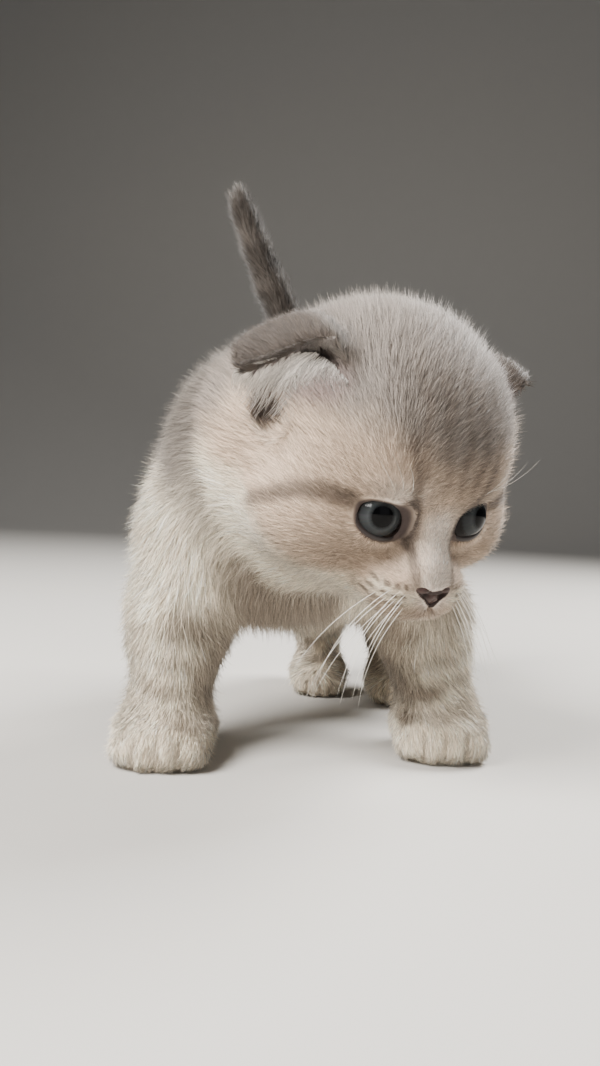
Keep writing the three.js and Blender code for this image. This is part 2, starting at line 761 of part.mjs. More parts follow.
const waist = between(SHOULDERS, RUMP, 0.5);
const forward = point(SHOULDERS).sub(point(RUMP)).setZ(0).toArray();
const chestRegion = regionOf({
  within: [[-60, -40, 15], [70, 90, 120]],
  cuts: [{ through: waist, facing: forward }],
});
place('chest', parted(chestRegion, CELL.trunk), COLOURS.cream);
const loinRegion = regionOf({ within: [[-60, 30, 15], [70, 140, 120]], cuts: [] });
place('loin', parted(loinRegion, CELL.trunk), COLOURS.cream);

// The origin is on the floor under the middle of the kitten's box.

const bounds = new THREE.Box3().setFromObject(kitten);
const middle = bounds.getCenter(new THREE.Vector3());
kitten.position.set(-middle.x, -middle.y, -bounds.min.z);
kitten.userData.shift = kitten.position.toArray();

export default kitten;
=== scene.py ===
"""A Scottish Fold kitten about five weeks old, dressed over its solid body.

One skin covers the flesh. Eyes, lids, nose, whiskers and a coat of fine mesh tufts are
made on it. Lengths are in metres; a number times MM is a size in millimetres.
"""

import math

import bmesh
import bpy
import numpy as np
from mathutils import Matrix, Vector, noise
from mathutils.bvhtree import BVHTree
from mathutils.kdtree import KDTree


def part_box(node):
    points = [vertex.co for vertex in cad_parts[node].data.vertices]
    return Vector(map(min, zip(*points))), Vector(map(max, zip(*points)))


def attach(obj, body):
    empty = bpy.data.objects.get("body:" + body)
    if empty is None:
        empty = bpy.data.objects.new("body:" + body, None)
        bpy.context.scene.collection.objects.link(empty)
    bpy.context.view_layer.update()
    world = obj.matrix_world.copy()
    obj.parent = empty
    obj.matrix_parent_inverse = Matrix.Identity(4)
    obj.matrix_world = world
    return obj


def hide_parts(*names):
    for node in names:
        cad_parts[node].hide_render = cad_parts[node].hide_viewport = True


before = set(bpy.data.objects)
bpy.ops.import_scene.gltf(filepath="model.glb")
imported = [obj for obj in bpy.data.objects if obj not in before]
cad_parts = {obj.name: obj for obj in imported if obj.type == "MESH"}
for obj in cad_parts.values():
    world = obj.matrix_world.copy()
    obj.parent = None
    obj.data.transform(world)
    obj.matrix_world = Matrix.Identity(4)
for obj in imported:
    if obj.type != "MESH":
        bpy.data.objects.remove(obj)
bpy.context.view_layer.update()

bl_info = {
    "name": "Scottish Fold Kitten",
    "version": (1, 0, 0),
    "blender": (4, 5, 0),
    "location": "View3D > Sidebar > Kitten",
    "description": "Dresses the solid body of a kitten in skin, eyes, whiskers and fur",
    "category": "Object",
}

MM = 0.001
SEED = 7
SIDES = {"right": -1, "left": 1}

# Sizes that the solid body was made with, from which its head is found again.
GLOBE_RADIUS = 7.2 * MM
GLOBE_SET_BACK = 4.8 * MM
CORNEA_RADIUS = 5.4 * MM
CORNEA_FORWARD = 2.7 * MM
GAZE_OUT = math.radians(20)
GAZE_UP = math.radians(23)
NOSE_MIDDLE = np.array((0, -9.8, -10.6))
SKULL_MIDDLE = np.array((0, 27, 12))
EAR_LOWERED = {"right": 0, "left": math.radians(9)}

# The camera's place from the point between the eyes, its lens and sensor in millimetres, and
# how it is held.
CAMERA_FROM_EYES = Vector((-28.1, -180.4, 0.8)) * MM
CAMERA_LENS = 27
CAMERA_SENSOR = 36
CAMERA_PITCH = math.radians(-1.29)
CAMERA_ROLL = math.radians(2.5)

# Nodes of flesh by part of the body.
HEAD_NODES = ("head", "muzzle", "lower_jaw")
EAR_NODES = ("ear_right", "ear_left")
TRUNK_NODES = ("neck", "chest", "loin")
TAIL_NODES = ("tail_root", "tail_middle", "tail_tip")
LEG_PARTS = ("upper_arm", "forearm", "forefoot", "thigh", "shank", "hindfoot")
LEG_NODES = tuple(f"{part}_{side}" for part in LEG_PARTS for side in SIDES)
FOOT_NODES = tuple(name for name in LEG_NODES if "foot" in name)
BODY_PARTS = {"head": HEAD_NODES, "ear": EAR_NODES, "trunk": TRUNK_NODES, "tail": TAIL_NODES, "leg": LEG_NODES}
FLESH = HEAD_NODES + EAR_NODES + TRUNK_NODES + TAIL_NODES + LEG_NODES


# Colours

def linear(code):
    """A linear colour from an sRGB hex code."""
    parts = [int(code[i:i + 2], 16) / 255 for i in (1, 3, 5)]
    return tuple(p / 12.92 if p <= 0.04045 else ((p + 0.055) / 1.055) ** 2.4 for p in parts)


def colour_property(name, description, code):
    return bpy.props.FloatVectorProperty(
        name=name, description=description, subtype="COLOR", size=3, min=0, max=1, default=linear(code))


def length_property(name, description, millimetres):
    return bpy.props.FloatProperty(
        name=name, description=description, unit="LENGTH", min=0, default=millimetres * MM, precision=5)


class KittenColours(bpy.types.PropertyGroup):
    cream: colour_property("Cream", "Neck, chest, chin and paws", "#F6E9D2")
    beige: colour_property("Beige", "Cheeks and the sides of the legs", "#C7B09A")
    lilac: colour_property("Lilac", "Crown and back", "#877E76")
    # Stripe also paints shade: on the throat, the far brow, the underside of the face, the inner legs, the toe
    # creases and the mouth, and the head's shadow on the left foreleg.
    stripe: colour_property("Stripe", "Temple lines, leg bands and whisker spots", "#6A5C50")
    # Cheek also darkens the lip and chin, partly as painted shade under the muzzle.
    cheek: colour_property("Cheek", "Patch under each eye", "#A8937F")
    # Bridge also paints the pale brow, with painted light on the near side.
    bridge: colour_property("Nose bridge", "Top of the muzzle", "#E6D6C8")
    ear_back: colour_property("Ear back", "Outside of the folded ears", "#4B423B")
    # Ear inside, darkened, is also the painted shade under the flaps and inside the ears.
    ear_inside: colour_property("Ear inside", "Thin-haired skin inside the ears", "#86716D")
    ear_hair: colour_property("Ear hair", "Long hairs over the openings of the ears", "#F6EFE7")
    tail: colour_property("Tail", "Tail and its faint rings", "#3B342E")
    # Nose, darkened, also colours the skin behind the leather as painted shade.
    nose: colour_property("Nose leather", "Bare skin of the nose", "#45332E")
    # Rim also paints shade in the ear canals, and in the nostrils and the groove of the nose.
    rim: colour_property("Eye rim", "Bare edges of the lids", "#1F1715")
    lid: colour_property("Lid skin", "Thin bare skin beside the dark rims", "#362B29")
    iris: colour_property("Iris", "Grey-blue ring of a young kitten's eye", "#484C4E")
    pupil: colour_property("Pupil", "Wide pupil", "#050506")
    whisker: colour_property("Whisker", "Whiskers and brow hairs", "#E6E1D8")
    floor: colour_property("Floor", "Studio floor and backdrop", "#BFBCB7")


class KittenSizes(bpy.types.PropertyGroup):
    skin_grid: length_property("Skin grid", "Spacing of the skin's mesh", 1.3)
    eye_width: length_property("Eye width", "Width of the opening of the lids", 12.6)
    lid_rim: length_property("Lid rim", "Width of the bare dark edge of the lids", 0.8)
    pupil: length_property("Pupil radius", "Radius of the round pupil", 2.4)
    iris: length_property("Iris radius", "Radius of the iris", 4.85)
    whisker: length_property("Whisker length", "Length of the longest whisker", 33)
    hair_width: length_property("Hair width", "Width of a tuft on the body", 0.27)
    hair_share: bpy.props.FloatProperty(
        name="Hair share", description="Share of the full number of tufts", subtype="FACTOR",
        min=0.02, max=1, default=1)


def colours():
    return bpy.context.scene.kitten_colours


def sizes():
    return bpy.context.scene.kitten_sizes


def paint(name):
    """One of the kitten's colours, ready for sums."""
    return np.array(getattr(colours(), name))


# Head frame: x to the kitten's left, y to the back of the head, z up, from between the eyes.

def eye_line(node):
    """The centre of an eye and its gaze: its longest line ends at the top of the cornea."""
    corners = np.array([v.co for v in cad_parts[node].data.vertices])
    apart = np.linalg.norm(corners[:, None] - corners[None], axis=2)
    ends = corners[list(np.unravel_index(apart.argmax(), apart.shape))]
    front, back = ends[ends[:, 1].argsort()]
    gaze = Vector(front - back).normalized()
    return Vector(back) + gaze * GLOBE_RADIUS, gaze


EYES = {side: eye_line(f"eye_{side}") for side in SIDES}


def head_frame():
    across = (EYES["left"][0] - EYES["right"][0]).normalized()
    gaze = EYES["left"][1] + EYES["right"][1]
    gaze = (gaze - across * gaze.dot(across)).normalized()
    above = across.cross(-gaze)
    rise = math.atan2(math.sin(GAZE_UP), math.cos(GAZE_UP) * math.cos(GAZE_OUT))
    back = above * math.sin(rise) - gaze * math.cos(rise)
    turned = Matrix((across, back, across.cross(back))).transposed().to_4x4()
    middle = (EYES["left"][0] + EYES["right"][0]) / 2
    turned.translation = middle - back * GLOBE_SET_BACK
    return turned


HEAD = head_frame()
HEAD_TURN = np.array(HEAD)[:3, :3]


def eye_frame(side):
    """x across the eye, y into the head, z up, from the middle of the globe."""
    centre, gaze = EYES[side]
    back = -gaze
    across = back.cross(HEAD.to_3x3().col[2]).normalized()
    turned = Matrix((across, back, across.cross(back))).transposed().to_4x4()
    turned.translation = centre
    return turned


def placed(frame_matrix, points):
    """Points of a frame, as places in the scene."""
    turned = np.array(frame_matrix)
    return np.asarray(points) @ turned[:3, :3].T + turned[:3, 3]


def seen_from(frame_matrix, points):
    """Places in the scene, as points of a frame, in millimetres."""
    turned = np.array(frame_matrix)
    return (points - turned[:3, 3]) @ turned[:3, :3] / MM


def on_right(points):
    """Points of the head frame, with those on the kitten's left mirrored to its right."""
    return np.where(points[:, :1] < 0, points, points * (-1, 1, 1))


# Small sums

def unit(vectors):
    return vectors / np.maximum(np.linalg.norm(vectors, axis=-1, keepdims=True), 1e-9)


def along_skin(ways, normals):
    """Directions laid flat on the skin."""
    return unit(ways - normals * np.sum(ways * normals, 1, keepdims=True))


def ramp(values, start, end):
    """From 0 at the start to 1 at the end, smoothly."""
    share = np.clip((values - start) / (end - start), 0, 1)
    return share * share * (3 - 2 * share)


def mixed(one, other, share):
    return one + (other - one) * share[:, None]


def layered(colour, layers):
    """A colour with others laid over it in order, each by its share at every place."""
    for tint, share in layers:
        colour = mixed(colour, tint, share)
    return colour


def noise_at(points, size, offset=0):
    """Smooth noise from -1 to 1 whose lumps have the given size."""
    shift = Vector((offset, 0, 0))
    return np.array([noise.noise(Vector(p) / size + shift) for p in points])


def distance_to_line(points, line):
    """How far each point is from a line through a few places."""
    nearest = np.full(len(points), np.inf)
    for start, end in zip(line[:-1], line[1:]):
        start, along = np.array(start), np.array(end) - np.array(start)
        share = np.clip((points - start) @ along / (along @ along), 0, 1)
        gap = np.linalg.norm(points - start - share[:, None] * along, axis=1)
        nearest = np.minimum(nearest, gap)
    return nearest


# Meshes and objects

def coordinates(mesh):
    flat = np.empty(len(mesh.vertices) * 3, np.float32)
    mesh.vertices.foreach_get("co", flat)
    return flat.reshape(-1, 3).astype(float)


def new_piece(name, mesh, material, replaced=()):
    """An object that rides on the body, takes its finish from a slot and may stand for nodes."""
    piece = bpy.data.objects.new(name, mesh)
    bpy.context.scene.collection.objects.link(piece)
    mesh.materials.append(material)
    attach(piece, "root")
    if replaced:
        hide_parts(*replaced)
    return piece


def mesh_of(name, form):
    """A smoothly shaded mesh from a bmesh, which is freed."""
    mesh = bpy.data.meshes.new(name)
    form.to_mesh(mesh)
    form.free()
    mesh.shade_smooth()
    return mesh


def remeshed(form, grid):
    """The outer surface of a bmesh's closed forms, on an even grid."""
    holder = bpy.data.objects.new("rough", mesh_of("rough", form))
    bpy.context.scene.collection.objects.link(holder)
    modifier = holder.modifiers.new("even grid", "REMESH")
    modifier.mode = "VOXEL"
    modifier.voxel_size = grid
    evaluated = holder.evaluated_get(bpy.context.evaluated_depsgraph_get())
    mesh = bpy.data.meshes.new_from_object(evaluated)
    bpy.data.objects.remove(holder)
    return mesh


def edges_of(mesh):
    flat = np.empty(len(mesh.edges) * 2, np.int32)
    mesh.edges.foreach_get("vertices", flat)
    return flat.reshape(-1, 2)


def neighbour_mean(values, edges):
    one, other = edges.T
    count = np.bincount(edges.ravel(), minlength=len(values))
    total = [np.bincount(one, v[other], len(values)) + np.bincount(other, v[one], len(values)) for v in values.T]
    return np.stack(total, 1) / np.maximum(count, 1)[:, None]


def evened(values, edges, rounds, share=0.5):
    """Values on a mesh's corners, drawn towards their neighbours' mean."""
    for _ in range(rounds):
        values = values + (neighbour_mean(values, edges) - values) * share
    return values


def smoothed(points, edges, rounds, share):
    """Places on a mesh smoothed without shrinking: each round in is followed by one out."""
    for _ in range(rounds):
        points = points + (neighbour_mean(points, edges) - points) * 0.5 * share
        points = points - (neighbour_mean(points, edges) - points) * 0.52 * share
    return points


def set_points(mesh, points):
    mesh.vertices.foreach_set("co", points.astype(np.float32).ravel())
    mesh.update()


def normals_of(mesh):
    flat = np.empty(len(mesh.vertices) * 3, np.float32)
    mesh.vertex_normals.foreach_get("vector", flat)
    return flat.reshape(-1, 3).astype(float)


def keep(mesh, name, values):
    """Stores values on a mesh's corners: numbers, directions or colours."""
    kinds = {1: ("FLOAT", "value"), 3: ("FLOAT_VECTOR", "vector"), 4: ("FLOAT_COLOR", "color")}
    kind, field = kinds[1 if values.ndim == 1 else values.shape[1]]
    attribute = mesh.attributes.new(name, kind, "POINT")
    attribute.data.foreach_set(field, values.astype(np.float32).ravel())


def keep_colour(mesh, colour):
    """Stores one colour for each corner, where the materials look for it."""
    keep(mesh, "coat_colour", np.column_stack([colour, np.ones(len(colour))]))


def kept(mesh, name):
    """Numbers or directions that were stored on a mesh's corners."""
    attribute = mesh.attributes[name]
    field, width = {"FLOAT": ("value", 1), "FLOAT_VECTOR": ("vector", 3)}[attribute.data_type]
    flat = np.empty(len(mesh.vertices) * width, np.float32)
    attribute.data.foreach_get(field, flat)
    return flat.astype(float) if width == 1 else flat.reshape(-1, width).astype(float)


# Materials

def add_node(tree, kind, inputs=None, **settings):
    """A node with its settings, and with values or links on its inputs."""
    node = tree.nodes.new(kind)
    for name, value in settings.items():
        setattr(node, name, value)
    for name, value in (inputs or {}).items():
        if isinstance(value, bpy.types.NodeSocket):
            tree.links.new(value, node.inputs[name])
        else:
            node.inputs[name].default_value = value
    return node


def new_material(name):
    material = bpy.data.materials.new(name)
    material.use_nodes = True
    tree = material.node_tree
    return material, tree, tree.nodes["Principled BSDF"]


def coat_coloured(name):
    """A material whose base colour is the one kept on each corner of its mesh."""
    material, tree, shader = new_material(name)
    tint = add_node(tree, "ShaderNodeAttribute", attribute_name="coat_colour")
    tree.links.new(tint.outputs["Color"], shader.inputs["Base Color"])
    return material, tree, shader


def shader_values(shader, **values):
    for name, value in values.items():
        shader.inputs[name.replace("_", " ")].default_value = value


def fur_material():
    """Kitten fur: fine, matt keratin hairs that scatter light, so soft with a faint sheen."""
    material, _, shader = coat_coloured("kitten fur")
    shader_values(shader, Roughness=0.62, IOR=1.55, Specular_IOR_Level=0.3, Sheen_Weight=0.15)
    return material


def skin_material():
    """Thin skin under the coat: matt and finely creased, in the colours of the fur above it."""
    material, tree, shader = coat_coloured("kitten skin")
    place = add_node(tree, "ShaderNodeTexCoord").outputs["Object"]
    crease = add_node(tree, "ShaderNodeTexNoise", {"Vector": place, "Scale": 1 / (0.8 * MM), "Detail": 4.0})
    bump = add_node(
        tree, "ShaderNodeBump", {"Height": crease.outputs["Fac"], "Strength": 0.5, "Distance": 0.3 * MM})
    tree.links.new(bump.outputs["Normal"], shader.inputs["Normal"])
    shader_values(shader, Roughness=0.7, IOR=1.4)
    return material


def nose_material():
    """Nose leather: bare pigmented skin with a grain like pebbles, slightly moist."""
    material, tree, shader = coat_coloured("nose leather")
    place = add_node(tree, "ShaderNodeTexCoord").outputs["Object"]
    pebble = add_node(tree, "ShaderNodeTexVoronoi", {"Vector": place, "Scale": 1 / (0.45 * MM)})
    bump = add_node(
        tree, "ShaderNodeBump", {"Height": pebble.outputs["Distance"], "Strength": 0.35, "Distance": 0.15 * MM})
    tree.links.new(bump.outputs["Normal"], shader.inputs["Normal"])
    shader_values(shader, Roughness=0.42, IOR=1.4, Subsurface_Weight=0.08, Subsurface_Scale=0.5 * MM)
    return material


def lid_material():
    """Lid edges: dark bare skin, wet from the eye, fading under the fur."""
    material, _, shader = coat_coloured("eye rim")
    shader_values(shader, Roughness=0.35, IOR=1.4)
    return material


# Rings of the eye: their edges waver with the fibres, and each stop of the iris lies this far
# past the pupil, in millimetres, with its share of the iris's colour.
FIBRE_WAVER = 0.5 * MM
EDGE_SHIFT = FIBRE_WAVER / 2
RING_SPAN = 8 * MM
IRIS_STOPS = ((0.15, 0.25), (0.75, 0.62), (1.2, 0.5))


def eye_rings():
    """The colours of pupil, iris and rim, each at its share of the span."""
    tints = colours()
    edge, outer = sizes().pupil + EDGE_SHIFT, sizes().iris + EDGE_SHIFT
    stops = [(0, tints.pupil, 1), (edge - 0.15 * MM, tints.pupil, 1)]
    stops += [(edge + past * MM, tints.iris, share) for past, share in IRIS_STOPS]
    stops += [(outer - 0.45 * MM, tints.iris, 0.36), (outer, tints.rim, 0.3), (RING_SPAN, tints.rim, 0.4)]
    return [(place / RING_SPAN, [c * share for c in tint]) for place, tint, share in stops]


def eye_material(side):
    """A young kitten's eye: a wide pupil in a grey-blue iris of fine radial fibres, under a wet cornea."""
    material, tree, shader = new_material(f"eye {side}")
    place = add_node(tree, "ShaderNodeTexCoord").outputs["Object"]
    centre = eye_frame(side)
    local = add_node(
        tree, "ShaderNodeMapping",
        {"Vector": place, "Location": centre.translation, "Rotation": centre.to_euler()}, vector_type="TEXTURE")
    parts = add_node(tree, "ShaderNodeSeparateXYZ", {"Vector": local.outputs["Vector"]})
    flat = add_node(tree, "ShaderNodeCombineXYZ", {"X": parts.outputs["X"], "Z": parts.outputs["Z"]})
    radius = add_node(tree, "ShaderNodeVectorMath", {0: flat.outputs["Vector"]}, operation="LENGTH")
    outward = add_node(tree, "ShaderNodeVectorMath", {0: flat.outputs["Vector"]}, operation="NORMALIZE")
    fibre = add_node(tree, "ShaderNodeTexNoise", {
        "Vector": outward.outputs["Vector"], "Scale": 9.0, "Detail": 5.0, "Roughness": 0.7})
    waver = add_node(
        tree, "ShaderNodeMath", {0: fibre.outputs["Fac"], 1: FIBRE_WAVER, 2: radius.outputs["Value"]},
        operation="MULTIPLY_ADD")
    across = add_node(tree, "ShaderNodeMath", {0: waver.outputs["Value"], 1: RING_SPAN}, operation="DIVIDE")
    rings = add_node(tree, "ShaderNodeValToRGB", {"Fac": across.outputs["Value"]})
    ring, stops = rings.color_ramp, eye_rings()
    while len(ring.elements) < len(stops):
        ring.elements.new(1)
    for element, (position, colour) in zip(ring.elements, stops):
        element.position = position
        element.color = (*colour, 1)
    shade = add_node(tree, "ShaderNodeMix", {"Factor": 0.35, 6: rings.outputs["Color"]}, data_type="RGBA")
    shade.blend_type = "MULTIPLY"
    tree.links.new(fibre.outputs["Color"], shade.inputs[7])
    tree.links.new(shade.outputs[2], shader.inputs["Base Color"])
    shader_values(shader, Roughness=0.05, IOR=1.376, Specular_IOR_Level=0.17)
    return material


def whisker_material():
    """Whiskers: stiff, smooth, pale keratin with a narrow gloss."""
    material, _, shader = new_material("whisker")
    shader_values(shader, Base_Color=(*colours().whisker, 1), Roughness=0.35, IOR=1.55)
    return material


def ear_hair_material():
    """Ear furnishings: long, soft, unpigmented hair."""
    material, _, shader = coat_coloured("ear hair")
    shader_values(shader, Roughness=0.6, IOR=1.55, Sheen_Weight=0.2)
    return material


def floor_material():
    """Studio paper: pale, matt and very slightly mottled."""
    material, tree, shader = new_material("studio paper")
    place = add_node(tree, "ShaderNodeTexCoord").outputs["Object"]
    mottle = add_node(tree, "ShaderNodeTexNoise", {"Vector": place, "Scale": 1 / (60 * MM), "Detail": 3.0})
    pale = tuple(colours().floor)
    tone = add_node(tree, "ShaderNodeMix", {
        "Factor": mottle.outputs["Fac"], 6: (*[c * 0.97 for c in pale], 1), 7: (*pale, 1)}, data_type="RGBA")
    tree.links.new(tone.outputs[2], shader.inputs["Base Color"])
    shader_values(shader, Roughness=0.9)
    return material


# Markings: the colour of skin and coat at each place.

# Lines of the face and ear on the kitten's right, in millimetres of the head frame. The line at
# the corner of the eye is seen flat from the front.
TEMPLE_LINE = [(-20, 2, 4.5), (-25, 6, 4.5), (-29, 10, 2.5), (-33.5, 17, -3.5), (-34, 24, -9)]
CHEEK_LINE = [(-22, 4, -13), (-29, 13, -17), (-31, 22, -22)]
TEAR_LINE = [(-7.2, -3.2, 0), (-5.6, -3.6, -3), (-5.2, -6.5, -5.3), (-5, -9.6, -7.8), (-4.9, -10.8, -9.4)]
EYE_CORNER_LINE = [(-7.8, 0, 7.8), (-6.9, 0, 5.6), (-6.1, 0, 3.4), (-5.7, 0, 1), (-5.5, 0, -3.5)]
TEAR_SPOT = np.array((-5.6, -3.6, -3.5))
BROW_LINE = [(-8.2, -4.4, 8), (-9.6, -3.6, 14), (-11.5, 0, 21)]
EAR_ROOT_LINE = [(-17, 40, 30), (-20.6, 28, 32.3), (-22, 21.3, 30.3), (-22.4, 17, 28.8)]
EAR_FRONT = [(-24, 13.6, 24), (-26, 15, 21), (-28, 17.6, 17.6)]
EAR_CANAL = np.array((-29, 34, 9.3))
EAR_OPENING = [(-24, 18.5, 24.5), (-28, 26, 21), (-32, 35, 15)]

# Dark lines of the face, with their half widths and how strong they are.
FACE_LINES = (
    (TEMPLE_LINE, 2.6, 0.9), (CHEEK_LINE, 2.2, 0.35), (TEAR_LINE, 1.3, 0.65), (BROW_LINE, 1.3, 0.7))

# Soft patches of the face: the middle across and up, both radii, and how far back each reaches.
CHEEK_PATCH = ((-16, -8.5), (8, 3.8), 10)
TEMPLE_PATCH = ((-23, 15), (9, 7), 24)
BROW_PATCH = ((-11, 9), (5, 3.5), 8)
# The far brow patch is painted shade on the far side of the face.
FAR_BROW_SHADE_PATCH = ((9, 9), (6, 6), 8)

# Rows of dark spots on a whisker pad: where each starts, how many it has, and the step to the next.
SPOT_ROWS = [(-6.8, -10.2), (-7.4, -12.2), (-7.8, -14.2)]
SPOTS_IN_ROW = 4
SPOT_STEP = (-1.7, -0.25)

# The line of the mouth and the groove up to the nose, and a gap that is past every soft edge.
MOUTH_HEIGHT = -16.2
MOUTH_DROOP = 1.6
MOUTH_REACH = 9
GROOVE_MIDDLE, GROOVE_HALF = -14.6, 0.8
FAR_OFF = 9

# Creases between the toes as shares of half a foot's width, and the depth and height of the toes.
TOE_CREASES = (-0.42, 0, 0.42)
TOE_DEPTH, TOE_HEIGHT = 7 * MM, 9 * MM

# Dark bands of the legs: height, half width, both in millimetres, and how strong they are.
LEG_BANDS = ((13, 2.2, 0.75), (19, 2.4, 0.85), (25.5, 2.6, 0.9), (32, 2.5, 0.8))
ELBOW_HEIGHT = 35


def mouth_line(x):
    """Height of the line of the mouth across the muzzle."""
    aside = np.minimum(np.abs(x) / MOUTH_REACH, 1)
    return MOUTH_HEIGHT + MOUTH_DROOP * (np.exp(-x * x / 3) - np.sin(aside * np.pi * 0.62))


def mouth_gap(points):
    """How far points of the head frame are from the mouth, or from the groove up to the nose."""
    x, y, z = points.T
    behind = FAR_OFF * (y > 0)
    line = np.hypot(z - mouth_line(x), np.maximum(np.abs(x) - MOUTH_REACH, 0)) + behind
    groove = np.hypot(x, np.maximum(np.abs(z - GROOVE_MIDDLE) - GROOVE_HALF, 0)) + behind
    return line, groove


def line_mark(points, line, width):
    """How strongly points lie on a soft-edged line."""
    gap = distance_to_line(points, line)
    return 1 - ramp(gap, width * 0.45, width * 1.3)


def soft_patch(x, y, z, patch, lean=0):
    """How strongly places lie on a soft oval of the face, which may lean."""
    (across, up), (wide, high), back = patch
    return np.exp(-((x - across) / wide) ** 2 - ((z - up - lean * (x - across)) / high) ** 2) * (y < back)


def ear_layers(one_side):
    """Dark root of the flap with painted shadow under its edge, the opening under the flap darkened as painted
    shade, and the ear canal painted dark as painted shade.
    """
    canal = np.linalg.norm((one_side - EAR_CANAL) / (5, 5, 3), axis=1)
    return [
        (paint("ear_back"), line_mark(one_side, EAR_ROOT_LINE, 6) * 0.3),
        (paint("ear_inside") * 0.7, line_mark(one_side, EAR_OPENING, 6.5) * 0.85),
        (paint("rim") * 2, (1 - ramp(canal, 0.8, 1.4)) * 0.9)]


def line_layers(points, one_side):
    """Bare corner and tear of the eye, tabby lines, spots of the whisker pads, and painted shade along the mouth and
    the groove up to the nose.
    """
    x, y, z = one_side.T
    stripe = paint("stripe")
    corner = line_mark(one_side * (1, 0, 1), EYE_CORNER_LINE, 1.5) * (y < 2)
    tear = np.linalg.norm(one_side - TEAR_SPOT, axis=1)
    layers = [(paint("lid"), corner * 0.6), (paint("rim") * 2, (1 - ramp(tear, 0.5, 1.1)) * 0.85)]
    layers += [(stripe, line_mark(one_side, line, width) * strength) for line, width, strength in FACE_LINES]
    for spot_x, spot_z in SPOT_ROWS:
        for step in range(SPOTS_IN_ROW):
            gap = np.hypot(x - spot_x - step * SPOT_STEP[0], z - spot_z - step * SPOT_STEP[1])
            layers.append((stripe, (1 - ramp(gap, 0.35, 0.7)) * (y < 2) * 0.95))
    # The mouth and the groove up to the nose darkened as painted shade in their creases.
    mouth, groove = mouth_gap(points)
    layers.append((stripe, (1 - ramp(np.minimum(mouth, groove + 0.1), 0.2, 0.8)) * 0.6))
    return layers


def head_colour(points, normals):
    """Pale beige face, lilac crown, cream chin and cheeks, with the dark lines of a tabby, painted light on the near
    brow, and painted shade on the far brow, under the muzzle and on all that faces down.
    """
    cream, lilac, stripe, cheek, bridge = map(paint, ("cream", "lilac", "stripe", "cheek", "bridge"))
    one_side, on_near_side = on_right(points), points[:, 0] < 0
    x, y, z = one_side.T
    mottle = noise_at(points, 5) * 3
    streaks = ramp(np.sin(points[:, 0] * 1.25 + noise_at(points, 7, 9) * 3.5), -0.2, 0.8)
    forehead = ramp(z, 8, 14) * (1 - ramp(z, 30, 42)) * (1 - ramp(np.abs(x), 9, 15)) * ramp(-y, -16, -2)
    above_nose = np.exp(-(x / 4.5) ** 2) * ramp(-y, -1, 4) * ramp(-z, -10, -2)
    # The pale brow, strong on the near side and faint on the far one: a pale patch with painted light on the lit
    # side.
    brow = soft_patch(x, y, z, BROW_PATCH) * np.where(on_near_side, 0.95, 0.2)
    on_muzzle = ramp(-y, 2, 6)
    return layered(paint("beige"), [
        (lilac, ramp(z + 0.12 * y - 0.25 * np.abs(x) + mottle, 8, 22)),
        (cream, ramp(-z + 0.2 * y + mottle, 11, 20) * 0.9),
        (cheek, soft_patch(x, y, z, CHEEK_PATCH, 0.2) * 0.85),
        # The forehead's tabby streaks, drawn stronger on the far side, where they also serve as painted shade.
        (stripe, streaks * forehead * np.where(on_near_side, 0.4, 0.55)),
        (cheek, soft_patch(x, y, z, TEMPLE_PATCH) * 0.4),
        *ear_layers(one_side),
        (bridge, np.clip(above_nose * 1.2, 0, 1)),
        (bridge, brow),
        # Painted shade on the far brow.
        (stripe, soft_patch(points[:, 0], y, z, FAR_BROW_SHADE_PATCH) * 0.5),
        (lilac * 0.8, ramp(y + mottle, 40, 54) * 0.9),
        (cream, on_muzzle * ramp(-z, 9.5, 12) * ramp(-x, 3, 6) * 0.7),
        # Cheek tone on the lower lip and chin: partly their own colour, partly painted shade under the muzzle.
        (cheek, on_muzzle * ramp(-z, 12.5, 16) * 0.85),
        # Painted shade on all of the face that faces down.
        (stripe, ramp(-normals[:, 2], 0.3, 0.9) * ramp(y, -2, 4) * 0.4),
        *line_layers(points, one_side)])


def ear_colour(points, normals):
    """Dark backs that fade towards the crown on the kitten's right, and an inside darkened as painted shade."""
    facing = np.sum(unit(points - SKULL_MIDDLE) * normals, axis=1)
    dark = np.where(points[:, 0] < 0, ramp(-points[:, 0], 22.5, 28.5), 1)
    back = mixed(paint("lilac"), paint("ear_back"), dark)
    return mixed(paint("ear_inside") * 0.6, back, ramp(facing, -0.75, -0.4))


def trunk_colour(places, normals):
    """Silvery lilac with faint stripes along the back and neck, cream below, and painted shade on the throat under
    the head.
    """
    x, y, z = places.T
    waver = noise_at(places, 14 * MM)
    on_back = ramp(z + waver * 6 * MM, 44 * MM, 80 * MM)
    # Painted shade on the throat, under the jaw.
    throat_shade = ramp(-y, 5 * MM, 30 * MM) * ramp(-z, -64 * MM, -50 * MM) * ramp(x, -36 * MM, -16 * MM)
    bands = ramp(np.sin(y / (5.5 * MM) + waver * 2.2), 0.45, 0.95) * ramp(y, -10 * MM, 30 * MM)
    return layered(paint("cream"), [
        (paint("lilac") * 0.7, on_back * 0.95), (paint("stripe"), throat_shade * 0.85), (paint("stripe"), bands * 0.25)])


def toe_gap(places):
    """How far places on the front of a foot are from the creases between its toes, in millimetres."""
    x, y, z = places.T
    nearest = np.full(len(places), float(FAR_OFF))
    for name in FOOT_NODES:
        low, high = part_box(name)
        middle, half = (low[0] + high[0]) / 2, (high[0] - low[0]) / 2
        in_front = (y > low[1] - 2 * MM) & (y < low[1] + TOE_DEPTH) & (z < TOE_HEIGHT) & (np.abs(x - middle) < half)
        for share in TOE_CREASES:
            gap = np.abs(x - middle - share * half) / MM
            nearest = np.minimum(nearest, np.where(in_front, gap, FAR_OFF))
    return nearest


